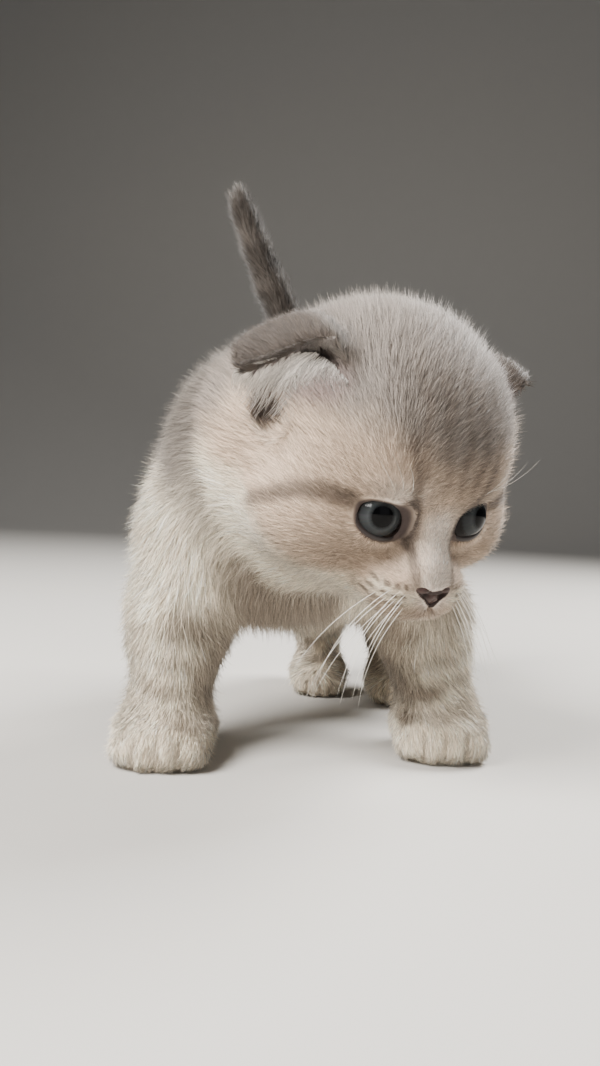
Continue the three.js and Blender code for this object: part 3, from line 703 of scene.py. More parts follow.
def leg_colour(places, normals):
    """Cream, with broken dark bands that are widest and darkest on the inner side, painted shade on the inner side
    and in the creases between the toes, and the head's painted shadow on the upper left foreleg.
    """
    x, _, z = places.T
    waver = noise_at(places, 7 * MM)
    inner = np.where(x < 0, normals[:, 0], -normals[:, 0])
    height = z / MM + waver * 2.2 + 3 * inner
    warm = np.maximum(ramp(waver, -0.2, 0.4) * 0.3, ramp(-height, -24, -8) * 0.3)
    bands = np.maximum.reduce([
        strength * (1 - ramp(np.abs(height - at), wide * 0.4, wide)) for at, wide, strength in LEG_BANDS])
    bands = bands * (0.6 + 0.4 * ramp(noise_at(places, 5 * MM, 5), -0.3, 0.3)) * (0.7 + 0.3 * ramp(inner, -0.3, 0.4))
    elbow = (1 - ramp(np.abs(height - ELBOW_HEIGHT), 2.5, 5.5)) * ramp(inner, -0.4, 0.1) * 0.75
    # The head's painted shadow on the upper left foreleg.
    head_shadow_on_left_arm = ramp(x, 10 * MM, 20 * MM) * ramp(height, 28, 35) * (1 - ramp(height, 46, 58)) * 0.5
    # Painted shade on the inner side of each leg.
    shaded = ramp(inner, 0.2, 0.8) * ramp(z, 8 * MM, 16 * MM) * 0.75
    dark = np.maximum.reduce([bands, elbow, head_shadow_on_left_arm, shaded])
    # Painted shade in the creases between the toes.
    toe_crease_shade = np.exp(-(toe_gap(places) / 0.5) ** 2)
    return layered(paint("cream"), [
        (paint("beige"), warm), (paint("stripe"), dark * 0.95), (paint("stripe"), toe_crease_shade * 0.4)])


def tail_colour(places, normals):
    """Dark, with faint paler rings."""
    rings = np.sin(places[:, 2] / (2.6 * MM) + noise_at(places, 10 * MM))
    return mixed(paint("tail"), paint("lilac"), ramp(rings, 0.1, 0.9) * 0.12)


def marked(places, normals, shares):
    """The colour at each place, mixed by how much each part of the body holds there."""
    in_head = (seen_from(HEAD, places), normals @ HEAD_TURN)
    in_scene = (places, normals)
    painters = (
        (head_colour, in_head), (ear_colour, in_head), (trunk_colour, in_scene), (tail_colour, in_scene),
        (leg_colour, in_scene))
    colour = np.zeros_like(places)
    for share, (painter, (where, facing)) in zip(shares.T, painters):
        held = share > 0.001
        if held.any():
            colour[held] += share[held, None] * painter(where[held], facing[held])
    for side in SIDES:
        turn, gap = eye_gap(places, side)
        corner = (1 - ramp(gap, 1.3, 2.6)) * ramp(np.cos(turn - 0.1), 0.4, 0.9)
        colour = mixed(colour, paint("lid"), corner * 0.6)
    return colour


# Coat of each part: its depth below the solid's surface and the length of its hairs, both in
# millimetres, and how far they rise from the skin, in degrees. On the head these are the
# values at the nose, and what they gain towards the nape.
COAT = {
    "muzzle": (0.8, 1.8, 17), "lower_jaw": (0.9, 2.4, 18), "head": (0.9, 2.0, 14),
    "ear": (0.45, 3.2, 20), "neck": (4.0, 9.5, 24), "chest": (4.0, 10.0, 24), "loin": (4.0, 10.0, 22),
    "tail": (2.2, 6.0, 24), "upper_arm": (3.2, 8.0, 22), "forearm": (2.2, 6.0, 20), "forefoot": (1.1, 3.6, 18),
    "thigh": (3.4, 8.0, 22), "shank": (2.0, 6.0, 20), "hindfoot": (1.1, 3.6, 18),
}
HEAD_GAIN = (1.7, 5.4, 9)
NOSE_TIP = np.array((0, -9.5, -8))
LIP_MIDDLE = np.array((0, -9.8, -13.4))

# The way hair grows on the legs and neck, and on the rest of the trunk.
HAIR_WAYS = {
    "forefoot": (0, -0.7, -0.6), "hindfoot": (0, -0.7, -0.6), "forearm_left": (0.45, 0, -1),
    "forearm_right": (-0.12, 0.1, -1), "shank": (0, 0.15, -1), "upper_arm": (0, 0.4, -1),
    "thigh": (0, 0.5, -1), "neck": (-0.25, 0.6, -0.8)}
TRUNK_WAY = (0.2, 1, -0.5)


def coat_at(node):
    part = max((p for p in COAT if node.startswith(p)), key=len)
    return COAT[part]


def middle_of(node):
    low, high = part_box(node)
    return np.array((low + high) / 2)


def part_lie(node, places):
    """The way hair grows on each part: back from the nose, back along the trunk, down the legs."""
    if node in HEAD_NODES + EAR_NODES:
        in_head = seen_from(HEAD, places)
        lie = unit(in_head - LIP_MIDDLE) + np.array((0, 0.2, -0.1))
        swept = ramp(in_head[:, 2], 3, 13) * (1 - ramp(in_head[:, 1], 16, 34)) * ramp(in_head[:, 0], -20, -8)
        lie = lie + swept[:, None] * (0.75, 0, 0)
        return lie @ HEAD_TURN.T
    if node in TAIL_NODES:
        way = middle_of("tail_tip") - middle_of("tail_root")
    else:
        way = next((way for part, way in HAIR_WAYS.items() if node.startswith(part)), TRUNK_WAY)
    return np.tile(way, (len(places), 1)).astype(float)


# How far each node grows to meet its neighbours, and the room round a globe.
NODE_GROWTH = 0.35 * MM
SOCKET_ROOM = 0.6 * MM


def flesh_form():
    """The flesh nodes as one bmesh, each grown a little so that it meets its neighbours."""
    body = bmesh.new()
    for name in (*FLESH, "nose"):
        piece = bmesh.new()
        piece.from_mesh(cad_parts[name].data)
        bmesh.ops.remove_doubles(piece, verts=piece.verts, dist=0.001 * MM)
        piece.normal_update()
        for corner in piece.verts:
            corner.co += corner.normal * NODE_GROWTH
        copy = bpy.data.meshes.new(name)
        piece.to_mesh(copy)
        piece.free()
        body.from_mesh(copy)
    for side in SIDES:
        place = Matrix.Translation(EYES[side][0])
        bmesh.ops.create_icosphere(body, subdivisions=4, radius=GLOBE_RADIUS + SOCKET_ROOM, matrix=place)
    return body


def tree_of(mesh):
    """A mesh as a tree in which its nearest place is found."""
    form = bmesh.new()
    form.from_mesh(mesh)
    tree = BVHTree.FromBMesh(form)
    form.free()
    return tree


def nearest_nodes(places):
    """The index in FLESH of the node nearest to each place."""
    trees = [tree_of(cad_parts[name].data) for name in FLESH]
    lows, highs = zip(*(map(np.array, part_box(name)) for name in FLESH))
    outside = np.stack([
        np.linalg.norm(np.maximum(np.maximum(low - places, places - high), 0), axis=1)
        for low, high in zip(lows, highs)], 1)
    nearest = np.zeros(len(places), int)
    for i, place in enumerate(places):
        best = np.inf
        for at in np.argsort(outside[i]):
            if outside[i, at] >= best:
                break
            found = trees[at].find_nearest(Vector(place), best if best < 1 else 1)
            if found[3] is not None and found[3] < best:
                best, nearest[i] = found[3], at
    return nearest


def shares_of(nodes, edges):
    """How much head, ear, trunk, tail and leg each corner is, softened across the borders."""
    member = np.array([[float(name in group) for group in BODY_PARTS.values()] for name in FLESH])
    return evened(member[nodes], edges, 8)


# The opening of the lids is drawn about this point of the eye frame, towards the nose and up.
OPENING_MIDDLE = np.array((0.4, -0.7))


def opening_outline(turns):
    """The edge of the bare rim at each turn: towards the nose and up, in millimetres."""
    half = sizes().eye_width / 2 / MM
    inward = 0.5 + half * np.cos(turns)
    corner_line = -0.6 - 0.12 * inward
    rise = np.abs(np.sin(turns))
    upper = corner_line + (4.0 + 0.12 * inward) * rise ** 0.42
    lower = corner_line - 4.6 * rise ** 0.85
    return inward, np.where(np.sin(turns) > 0, upper, lower)


def eye_gap(places, side):
    """The turn of places about the eye's opening, and how far past its rim they are, in millimetres."""
    x, y, z = seen_from(eye_frame(side), places).T
    inward, up = -SIDES[side] * x - OPENING_MIDDLE[0], z - OPENING_MIDDLE[1]
    edge_in, edge_up = np.array(opening_outline(np.linspace(-np.pi, np.pi, 181))) - OPENING_MIDDLE[:, None]
    edge_turn = np.arctan2(edge_up, edge_in)
    order = edge_turn.argsort()
    turn = np.arctan2(up, inward)
    edge = np.interp(turn, edge_turn[order], np.hypot(edge_in, edge_up)[order], period=2 * np.pi)
    return turn, np.hypot(inward, up) - edge + 20 * (y > 0)


def past_lids(places, side):
    """How far places are past the lids, counted less at the bare inner corner, in millimetres."""
    turn, gap = eye_gap(places, side)
    return gap - 0.7 * ramp(np.cos(turn - 0.1), 0.4, 1)


def refined(mesh, chosen):
    """Halves the faces of a mesh whose corners are all chosen."""
    form = bmesh.new()
    form.from_mesh(mesh)
    edges = [e for e in form.edges if chosen[e.verts[0].index] and chosen[e.verts[1].index]]
    bmesh.ops.subdivide_edges(form, edges=edges, cuts=1, use_grid_fill=True)
    bmesh.ops.triangulate(form, faces=[f for f in form.faces if len(f.verts) > 4])
    form.to_mesh(mesh)
    form.free()


# The nose and both eyes, round which the skin is finer, and how far from them, twice.
FINE_PLACES = np.array([(0, -8, -10), (-11.2, -2, 0), (11.2, -2, 0)])
FINE_REACHES = (14, 11)


def near_face(points, reach):
    """Which points are near the eyes, nose or mouth."""
    local = seen_from(HEAD, points)
    return np.min([np.linalg.norm(local - place, axis=1) for place in FINE_PLACES], 0) < reach


# Half the width of the nose leather, at heights from its foot to its top.
LEATHER_HEIGHTS = (-4.2, -3.4, -2.2, -1, 0.2, 0.9)
LEATHER_HALVES = (0.3, 1.0, 2.2, 3.9, 4.6, 3)


def on_leather(points, margin=0):
    """Which points of the head frame the nose leather covers: wide above, narrow at its foot."""
    x, y, z = (points - NOSE_MIDDLE).T
    half = np.interp(z, LEATHER_HEIGHTS, LEATHER_HALVES) - margin
    top = LEATHER_HEIGHTS[-1] - 0.5 * np.exp(-(x / 2) ** 2) - margin
    return (np.abs(x) < half) & (z > LEATHER_HEIGHTS[0] + margin) & (z < top) & (y < 3)


# Past the rim, the skin comes down over this many millimetres to a lid that lies this far off
# the globe and rises this much for each of them; inside the rim it drops below the globe.
LID_BLEND = 3.8
LID_LIFT, LID_SLOPE = 0.5, 0.3
UNDER_GLOBE = -0.9


def face_shaped(points, normals):
    """The skin with the mouth and the nostrils pressed in, and drawn down to the lids round each eye."""
    local = seen_from(HEAD, points)
    line, groove = mouth_gap(local)
    dent = 0.6 * np.exp(-(line / 0.5) ** 2) + 0.4 * np.exp(-(groove / 0.45) ** 2)
    points = points - normals * (dent * MM)[:, None]
    points = points + HEAD_TURN[:, 1] * (on_leather(local, 1) * 2.2 * MM)[:, None]
    points = points - normals * (0.9 * MM * np.exp(-(toe_gap(points) / 0.7) ** 2))[:, None]
    for side in SIDES:
        _, gap = eye_gap(points, side)
        centre = np.array(EYES[side][0])
        height = np.linalg.norm(points - centre, axis=1) / MM - GLOBE_RADIUS / MM
        lid = LID_LIFT + LID_SLOPE * gap
        wanted = lid + (height - lid) * ramp(gap, 0.2, LID_BLEND)
        wanted = wanted + (UNDER_GLOBE - wanted) * (1 - ramp(gap, -0.3, 0.2))
        drawn = centre + unit(points - centre) * (GLOBE_RADIUS + wanted[:, None] * MM)
        points = np.where((gap < LID_BLEND)[:, None], drawn, points)
    return points


def bare_skin():
    """The flesh's surface smoothed, with finer faces on the ears and face; and its places."""
    mesh = remeshed(flesh_form(), sizes().skin_grid)
    mesh.name = "skin"
    edges = edges_of(mesh)
    nodes = nearest_nodes(coordinates(mesh))
    detailed = np.array([float(name in HEAD_NODES + EAR_NODES) for name in FLESH])[nodes]
    detailed = evened(detailed[:, None], edges, 6)
    set_points(mesh, smoothed(coordinates(mesh), edges, 30, 1 - 0.7 * detailed))
    on_ear = np.isin(nodes, [FLESH.index(name) for name in EAR_NODES])
    wide, close = FINE_REACHES
    refined(mesh, near_face(coordinates(mesh), wide) | on_ear)
    refined(mesh, near_face(coordinates(mesh), close))
    points = smoothed(coordinates(mesh), edges_of(mesh), 4, 1)
    set_points(mesh, points)
    return mesh, points


def coat_measures(nodes, in_head, reach, edges):
    """Depth and length of the coat in millimetres, and its rise in degrees, on the skin's corners."""
    on_head = nodes == FLESH.index("head")
    coat = np.array([coat_at(name) for name in FLESH])[nodes]
    depth, length, rise = (coat + (on_head * reach)[:, None] * HEAD_GAIN).T
    ear_front = on_head * (1 - ramp(distance_to_line(on_right(in_head), EAR_FRONT), 1.5, 5))
    length, rise = length * (1 + 0.3 * ear_front), rise + 6 * ear_front
    on_bridge = ramp(in_head[:, 2], -8, -2) * (np.abs(in_head[:, 0]) < 5)
    length = np.where(nodes == FLESH.index("muzzle"), length * (1 - 0.35 * on_bridge), length)
    return evened(np.stack([depth, length, rise], 1), edges, 12)


def coat_flow(nodes, points, reach, edges):
    """The way the coat lies on the skin's corners, evened across the parts, with small swirls."""
    lie = np.zeros_like(points)
    for at, name in enumerate(FLESH):
        chosen = nodes == at
        lie[chosen] = unit(part_lie(name, points[chosen]))
    noise.seed_set(SEED)  # noise_vector otherwise starts from the clock, and differs at each run
    swirl = np.array([noise.noise_vector(Vector(p) / (16 * MM)) for p in points])
    return evened(lie, edges, 16) + swirl * (0.1 + 0.3 * reach)[:, None]


def parted_round_eyes(points, coat, lie):
    """The coat shorter, thinner and steeper next to each eye, and lying away from it."""
    for side in SIDES:
        turn, gap = eye_gap(points, side)
        near = 1 - ramp(gap, 0.3, 5.5)
        outward = np.stack([-SIDES[side] * np.cos(turn), np.zeros_like(turn), np.sin(turn)], 1)
        lie = mixed(unit(lie), outward @ np.array(eye_frame(side))[:3, :3].T, near * 0.75)
        coat[:, 1] = coat[:, 1] * (1 - 0.25 * near)
        coat[:, 2] = coat[:, 2] + 14 * near
        coat[:, 0] = np.where(near > 0, np.minimum(coat[:, 0], 0.75 + 1.5 * (1 - near)), coat[:, 0])
    return coat, lie


def skin_colour(points, normals, shares):
    """The markings, a little darker than the coat as painted shade between the hairs, with skin behind the nose
    leather painted dark as painted shade, and dark skin at the lids.
    """
    leather = on_leather(seen_from(HEAD, points)).astype(float)
    past = np.min([past_lids(points, side) for side in SIDES], 0)
    return layered(marked(points, normals, shares) * 0.95, [
        (paint("nose") * 0.45, leather), (paint("lid"), (1 - ramp(past, 0.5, 1.2)) * 0.9)])


class KITTEN_OT_skin(bpy.types.Operator):
    """One skin over all the flesh, inside the solid by the depth of the coat"""
    bl_idname = "kitten.skin"
    bl_label = "Skin"

    def execute(self, context):
        mesh, points = bare_skin()
        edges, normals = edges_of(mesh), normals_of(mesh)
        nodes = nearest_nodes(points)
        in_head = seen_from(HEAD, points)
        reach = ramp(np.linalg.norm(in_head - NOSE_TIP, axis=1), 8, 62)
        coat = coat_measures(nodes, in_head, reach, edges)
        coat, lie = parted_round_eyes(points, coat, coat_flow(nodes, points, reach, edges))
        lie = along_skin(lie, normals)
        shares = shares_of(nodes, edges)
        points = smoothed(points - normals * coat[:, :1] * MM, edges, 2, 0.8)
        set_points(mesh, face_shaped(points, normals))
        keep_colour(mesh, skin_colour(points, normals_of(mesh), shares))
        keep(mesh, "coat_length", coat[:, 1] * MM)
        keep(mesh, "coat_rise", np.radians(coat[:, 2]))
        keep(mesh, "coat_lie", lie)
        keep(mesh, "coat_node", nodes.astype(float))
        for part, share in zip(BODY_PARTS, shares.T):
            keep(mesh, f"share_{part}", share)
        mesh.shade_smooth()
        new_piece("skin", mesh, skin_material(), FLESH)
        return {"FINISHED"}


# Eyes, lids and nose

def eye_form(side):
    """A globe with its cornea, spun about the gaze."""
    form = bmesh.new()
    steps = 48
    rim = []
    for i in range(steps + 1):
        angle = math.pi * i / steps
        around, ahead = math.sin(angle), math.cos(angle)
        cornea = CORNEA_FORWARD * ahead + math.sqrt(max(CORNEA_RADIUS ** 2 - (CORNEA_FORWARD * around) ** 2, 0))
        reach = max(GLOBE_RADIUS, cornea if ahead > 0 else 0)
        rim.append(form.verts.new((reach * around, -reach * ahead, 0)))
    line = [form.edges.new(pair) for pair in zip(rim[:-1], rim[1:])]
    bmesh.ops.spin(
        form, geom=rim + line, cent=(0, 0, 0), axis=(0, 1, 0), angle=2 * math.pi, steps=56, use_merge=True)
    bmesh.ops.remove_doubles(form, verts=form.verts, dist=0.001 * MM)
    bmesh.ops.recalc_face_normals(form, faces=form.faces)
    bmesh.ops.transform(form, matrix=eye_frame(side), verts=form.verts)
    return form


class KITTEN_OT_eyes(bpy.types.Operator):
    """Both eyes, set in the solid's sockets"""
    bl_idname = "kitten.eyes"
    bl_label = "Eyes"

    def execute(self, context):
        for side in SIDES:
            mesh = mesh_of(f"eye_{side}", eye_form(side))
            new_piece(f"eyeball_{side}", mesh, eye_material(side), [f"eye_{side}"])
        return {"FINISHED"}


def lid_form(side):
    """Rims of both lids: a ring that turns out of the opening and runs under the fur."""
    around = 120
    rim = sizes().lid_rim / MM
    rows = [(-rim - 0.35, -0.6), (-rim, 0.05), (-rim + 0.15, 0.4), (-0.3, 0.6), (0.05, 0.64), (0.35, 0.5),
            (0.6, 0.2), (0.9, -0.4)]
    form = bmesh.new()
    ring = bmesh.ops.create_circle(form, segments=around, radius=1)["verts"]
    ring_edges = list(form.edges)
    rings = [ring]
    for _ in rows[1:]:
        grown = bmesh.ops.extrude_edge_only(form, edges=ring_edges)["geom"]
        ring_edges = [g for g in grown if isinstance(g, bmesh.types.BMEdge) and len(g.link_faces) == 1]
        rings.append([g for g in grown if isinstance(g, bmesh.types.BMVert)])
    for (out, lift), ring in zip(rows, rings):
        for corner in ring:
            edge = np.array(opening_outline(math.atan2(corner.co.y, corner.co.x)))
            inward, up = edge + unit(edge - OPENING_MIDDLE) * out
            flat = Vector((-SIDES[side] * inward, 0, up)) * MM
            deep = math.sqrt(max(GLOBE_RADIUS ** 2 - flat.length_squared, (2.4 * MM) ** 2))
            corner.co = (flat - Vector((0, deep, 0))).normalized() * (GLOBE_RADIUS + lift * MM)
    bmesh.ops.recalc_face_normals(form, faces=form.faces)
    top = max(form.faces, key=lambda face: -face.calc_center_median().y)
    if top.normal.y > 0:
        bmesh.ops.reverse_faces(form, faces=form.faces)
    bmesh.ops.transform(form, matrix=eye_frame(side), verts=form.verts)
    return form


class KITTEN_OT_lids(bpy.types.Operator):
    """Bare dark rims of the lids round each eye"""
    bl_idname = "kitten.lids"
    bl_label = "Lids"

    def execute(self, context):
        for side in SIDES:
            mesh = mesh_of(f"lids_{side}", lid_form(side))
            points = coordinates(mesh)
            _, gap = eye_gap(points, side)
            shares = np.tile((1.0, 0, 0, 0, 0), (len(points), 1))
            # The fur colours on the outer rows are darkened as painted shade under the fur, as on the skin.
            fur = marked(points, normals_of(mesh), shares) * 0.85
            keep_colour(mesh, layered(fur, [
                (paint("lid"), 1 - ramp(past_lids(points, side), 0.4, 0.9)), (paint("rim"), 1 - ramp(gap, 0, 0.4))]))
            new_piece(f"lids_{side}", mesh, lid_material())
        return {"FINISHED"}


# Nose: balls that make the leather, from its middle, in millimetres of the head frame.
NOSE_BALLS = [
    ((0, -0.1, -1.6), (2.6, 2.3, 1.7)), ((-2.6, 0.1, -0.2), (2.5, 2.2, 1.6)), ((2.6, 0.1, -0.2), (2.5, 2.2, 1.6)),
    ((-3.9, 0.5, 0), (1.5, 1.8, 1.3)), ((3.9, 0.5, 0), (1.5, 1.8, 1.3)), ((0, 0.1, -2.9), (1.4, 2.1, 1.5))]
NOSTRIL = np.array((2.0, -1.6, -0.9))


class KITTEN_OT_nose(bpy.types.Operator):
    """Nose leather with its nostrils and the groove below"""
    bl_idname = "kitten.nose"
    bl_label = "Nose"

    def execute(self, context):
        form = bmesh.new()
        for place, radii in NOSE_BALLS:
            at = Matrix.Translation((np.array(place) + NOSE_MIDDLE) * MM)
            size = Matrix.Diagonal((*[r * MM for r in radii], 1))
            bmesh.ops.create_icosphere(form, subdivisions=4, radius=1, matrix=HEAD @ at @ size)
        mesh = remeshed(form, 0.28 * MM)
        mesh.name = "nose"
        points = smoothed(coordinates(mesh), edges_of(mesh), 6, 1)
        set_points(mesh, points)
        local = seen_from(HEAD, points) - NOSE_MIDDLE
        mirrored = np.column_stack([np.abs(local[:, 0]), local[:, 1], local[:, 2]])
        gap = (mirrored - NOSTRIL) / (0.9, 1.6, 0.6)
        slit = (mirrored - NOSTRIL - (1.3, 0.8, 0.4)) / (1.1, 1.3, 0.42)
        dent = np.exp(-np.sum(gap * gap, 1)) + 0.5 * np.exp(-np.sum(slit * slit, 1))
        groove = 0.35 * np.exp(-(local[:, 0] / 0.35) ** 2) * ramp(-local[:, 2], 0.5, 2) * (local[:, 1] < 0.5)
        inward = HEAD_TURN[:, 1] * 0.9 + HEAD_TURN[:, 2] * 0.3
        set_points(mesh, points + inward * ((dent * 1.5 + groove) * MM)[:, None])
        # The nostrils and the groove painted dark as painted shade in their hollows; the leather also darkens
        # towards its edge.
        dark = np.clip(dent * 1.2 + groove, 0, 1)
        edge = 1 - on_leather(local + NOSE_MIDDLE, 0.5)
        keep_colour(mesh, mixed(paint("nose"), paint("rim"), np.clip(dark + edge * 0.45, 0, 1) * 0.85))
        mesh.shade_smooth()
        new_piece("nose_leather", mesh, nose_material(), ["nose"])
        return {"FINISHED"}


# Single hairs

def hair_mesh(name, routes, widths, around=5):
    """Tapered closed hairs along routes, each a row of places from root to tip."""
    routes, widths = np.array(routes), np.array(widths)
    count, rows = routes.shape[:2]
    along = unit(np.diff(routes, axis=1))
    across = unit(np.cross(along, (0.3, 0.2, 0.93)))
    above = np.cross(along, across)
    radius = widths[:, None] / 2 * (1 - np.arange(rows - 1) / (rows - 1)) ** 0.6
    corners = []
    for turn in np.arange(around) * 2 * np.pi / around:
        corners.append(routes[:, :-1] + (across * np.cos(turn) + above * np.sin(turn)) * radius[..., None])
    rings = np.stack(corners, 2).reshape(count, -1, 3)
    faces = [tuple(range(around))[::-1]]
    for row in range(rows - 2):
        for at in range(around):
            low, other = row * around + at, row * around + (at + 1) % around
            faces.append((low, other, other + around, low + around))
    last = (rows - 2) * around
    faces += [(last + at, last + (at + 1) % around, last + around) for at in range(around)]
    each = last + around + 1
    mesh = bpy.data.meshes.new(name)
    points = np.concatenate([rings, routes[:, -1:]], 1).reshape(-1, 3)
    all_faces = [tuple(at + hair * each for at in face) for hair in range(count) for face in faces]
    mesh.from_pydata(points.tolist(), [], all_faces)
    mesh.shade_smooth()
    return mesh


def hair_route(root, start, droop, length, steps=14):
    """A hair that leaves its root along start and bends towards droop."""
    places = [np.array(root)]
    for step in range(steps):
        share = step / (steps - 1)
        way = unit(np.array(start) * (1 - share) + np.array(droop) * share)
        places.append(places[-1] + way * length / steps)
    return places


def root_on_skin(tree, x, z):
    """Where a line from the front of the head meets the skin, x across and z up in millimetres."""
    start = Vector(placed(HEAD, np.array((x, -30, z)) * MM))
    hit = tree.ray_cast(start, HEAD.to_3x3().col[1])
    if hit[0] is None:
        raise RuntimeError("The root of a whisker misses the skin")
    return hit[0]


# Rows of whiskers on a pad: where the first root is, across and up, and how many; the step to
# the next root; and the roots over the brow.
WHISKER_ROWS = [((6.6, -11.0), 3), ((7.0, -12.8), 4), ((6.4, -14.4), 3)]
WHISKER_STEP = (1.55, -0.25)
BROW_ROOTS = [(9.5, 9.0), (11.2, 9.6), (12.8, 9.4)]


class KITTEN_OT_whiskers(bpy.types.Operator):
    """Whiskers in three rows on each pad, and a few hairs over each brow"""
    bl_idname = "kitten.whiskers"
    bl_label = "Whiskers"

    def execute(self, context):
        draw = np.random.default_rng(SEED)
        tree = tree_of(bpy.data.objects["skin"].data)
        routes, widths = [], []
        for side in SIDES.values():
            for row, ((x, z), count) in enumerate(WHISKER_ROWS):
                for step in range(count):
                    root = root_on_skin(tree, side * (x + step * WHISKER_STEP[0]), z + step * WHISKER_STEP[1])
                    way = (side * (0.65 + 0.05 * step), -0.25 + 0.1 * step, -0.6 - 0.1 * row)
                    fall = (side * (0.05 + 0.1 * step + 0.15 * draw.random()), 0.1, -1)
                    length = sizes().whisker * (0.66 + 0.2 * draw.random() + 0.05 * step)
                    routes.append(hair_route(root, HEAD_TURN @ way, fall, length))
                    widths.append((0.12 + 0.04 * draw.random()) * MM)
            for step, (x, z) in enumerate(BROW_ROOTS):
                root = root_on_skin(tree, side * x, z)
                way, fall = (side * (0.25 + 0.2 * step), -0.45, 0.7), (side * (0.5 + 0.15 * step), 0.3, 0.8)
                routes.append(hair_route(root, HEAD_TURN @ way, HEAD_TURN @ fall, (10 + 2 * step) * MM))
                widths.append(0.09 * MM)
        new_piece("whiskers", hair_mesh("whiskers", routes, widths), whisker_material())
        return {"FINISHED"}


# Sheets of hair on the kitten's right ear, in millimetres of the head frame: short brown hairs
# lengthen the flap, and long pale ones sweep back from its edge over the opening. Each has the
# places its hairs root, where the sheet ends, its bulge, its hairs, and its ribs.
EAR_SHEETS = {
    "ear_fringe": (
        np.array([(-25.5, 18.5, 34), (-28.2, 20.8, 33), (-29.6, 23.4, 30.8), (-31.2, 26.2, 28), (-33.9, 29.2, 24.6),
                  (-37.7, 32, 21.2)]),
        np.array([(-24.6, 17, 30.6), (-26, 19.8, 29.8), (-27.8, 22.5, 28.2), (-31.5, 25.6, 26), (-35, 28.2, 22.6),
                  (-38.8, 32, 19.6)]),
        0.8, 1100, 90),
    "ear_hair": (
        np.array([(-22.6, 13.5, 27), (-24, 18, 28.6), (-26.2, 22.5, 29), (-29.6, 25.6, 27.4), (-33.6, 28, 24.2),
                  (-37, 31, 21)]),
        np.array([(-26.2, 15.9, 16.2), (-28.2, 23.2, 12.4), (-30.4, 29.1, 11), (-32.6, 33.4, 10.6),
                  (-35, 36.4, 11.6), (-37, 38.2, 12.6)]),
        1.9, 1700, 31),
}


# The way a sheet bulges, and the way a lifted hair leaves it.
SHEET_SWELL = (-0.85, -0.1, 0.5)
HAIR_LIFT = np.array((-0.8, 0, 0.5))
LONG_SHEET = "ear_hair"


def sheet_place(roots, ends, bulge, along, across):
    """A place on a sheet of hairs: along the hairs and across them."""
    at = across * (len(roots) - 1)
    steps = np.arange(len(roots))
    root = np.array([np.interp(at, steps, column) for column in roots.T])
    end = np.array([np.interp(at, steps, column) for column in ends.T])
    swell = bulge * math.sin(math.pi * min(along, 1) ** 0.8)
    return root + (end - root) * along + np.array(SHEET_SWELL) * swell


def lowered_ear(side):
    """The head frame, with an ear turned down about the middle of the skull."""
    about = Matrix.Translation(Vector(SKULL_MIDDLE) * MM)
    return HEAD @ about @ Matrix.Rotation(SIDES[side] * EAR_LOWERED[side], 4, "Y") @ about.inverted()


def sheet_hairs(name, side):
    """The routes, widths and tones of a sheet's hairs, with painted shade between the locks and at the front, and
    how near the ear's front each is.
    """
    roots, ends, bulge, hairs, ribs = EAR_SHEETS[name]
    long = name == LONG_SHEET
    draw = np.random.default_rng(SEED + 40)
    shift, reaches = draw.normal(0, 0.4, ribs), 0.35 + 0.55 * draw.random(ribs)
    ear = lowered_ear(side)
    routes, widths, tones, fronts = [], [], [], []
    for _ in range(hairs):
        rib = draw.integers(ribs)
        start = 0.02 * long + (0.4 if long else 0.3) * draw.random() ** 1.5
        reach = (reaches[rib] if long else 0.6) * (0.4 + 0.8 * draw.random())
        aside, drift = 0.32 * draw.normal(), 0.07 * draw.normal()
        across = (rib + 0.5 + shift[rib] + aside) / ribs
        behind = min(max(across / 0.4, 0), 1) if long else 1
        reach *= 0.35 + 0.65 * behind
        lift = 0.45 * draw.normal()
        places = []
        for share in np.linspace(0, 1, 6):
            aim = 1 - abs(1 - abs(across + drift * share))
            place = sheet_place(roots, ends, bulge * (2 * behind - 1), start + reach * share, aim)
            place = place + HAIR_LIFT * lift * share
            places.append(placed(ear, place * (-SIDES[side], 1, 1) * MM))
        routes.append(places)
        widths.append((0.1 + 0.08 * draw.random()) * MM)
        # Hairs between the locks and towards the front of the long sheet are darker: painted shade.
        tones.append((1 - 0.7 * abs(aside) * long + 0.16 * draw.normal()) * (0.5 + 0.5 * behind))
        fronts.append(0 if long else 1 - across)
    return routes, widths, tones, fronts


class KITTEN_OT_ear_hair(bpy.types.Operator):
    """Brown fringe of each flap, and long pale hairs that sweep back over the opening of the ear"""
    bl_idname = "kitten.ear_hair"
    bl_label = "Ear hair"

    def execute(self, context):
        material = ear_hair_material()
        for name in EAR_SHEETS:
            base = paint("ear_hair" if name == LONG_SHEET else "ear_back")
            for side in SIDES:
                routes, widths, tones, fronts = sheet_hairs(name, side)
                mesh = hair_mesh(f"{name}_{side}", routes, widths, around=3)
                each = len(mesh.vertices) // len(routes)
                tone = np.clip(np.repeat(tones, each), 0.3, 1.1)
                colour = mixed(base, paint("lilac"), ramp(np.repeat(fronts, each), 0.6, 0.95) * 0.6)
                keep_colour(mesh, colour * tone[:, None])
                new_piece(f"{name}_{side}", mesh, material)
        return {"FINISHED"}


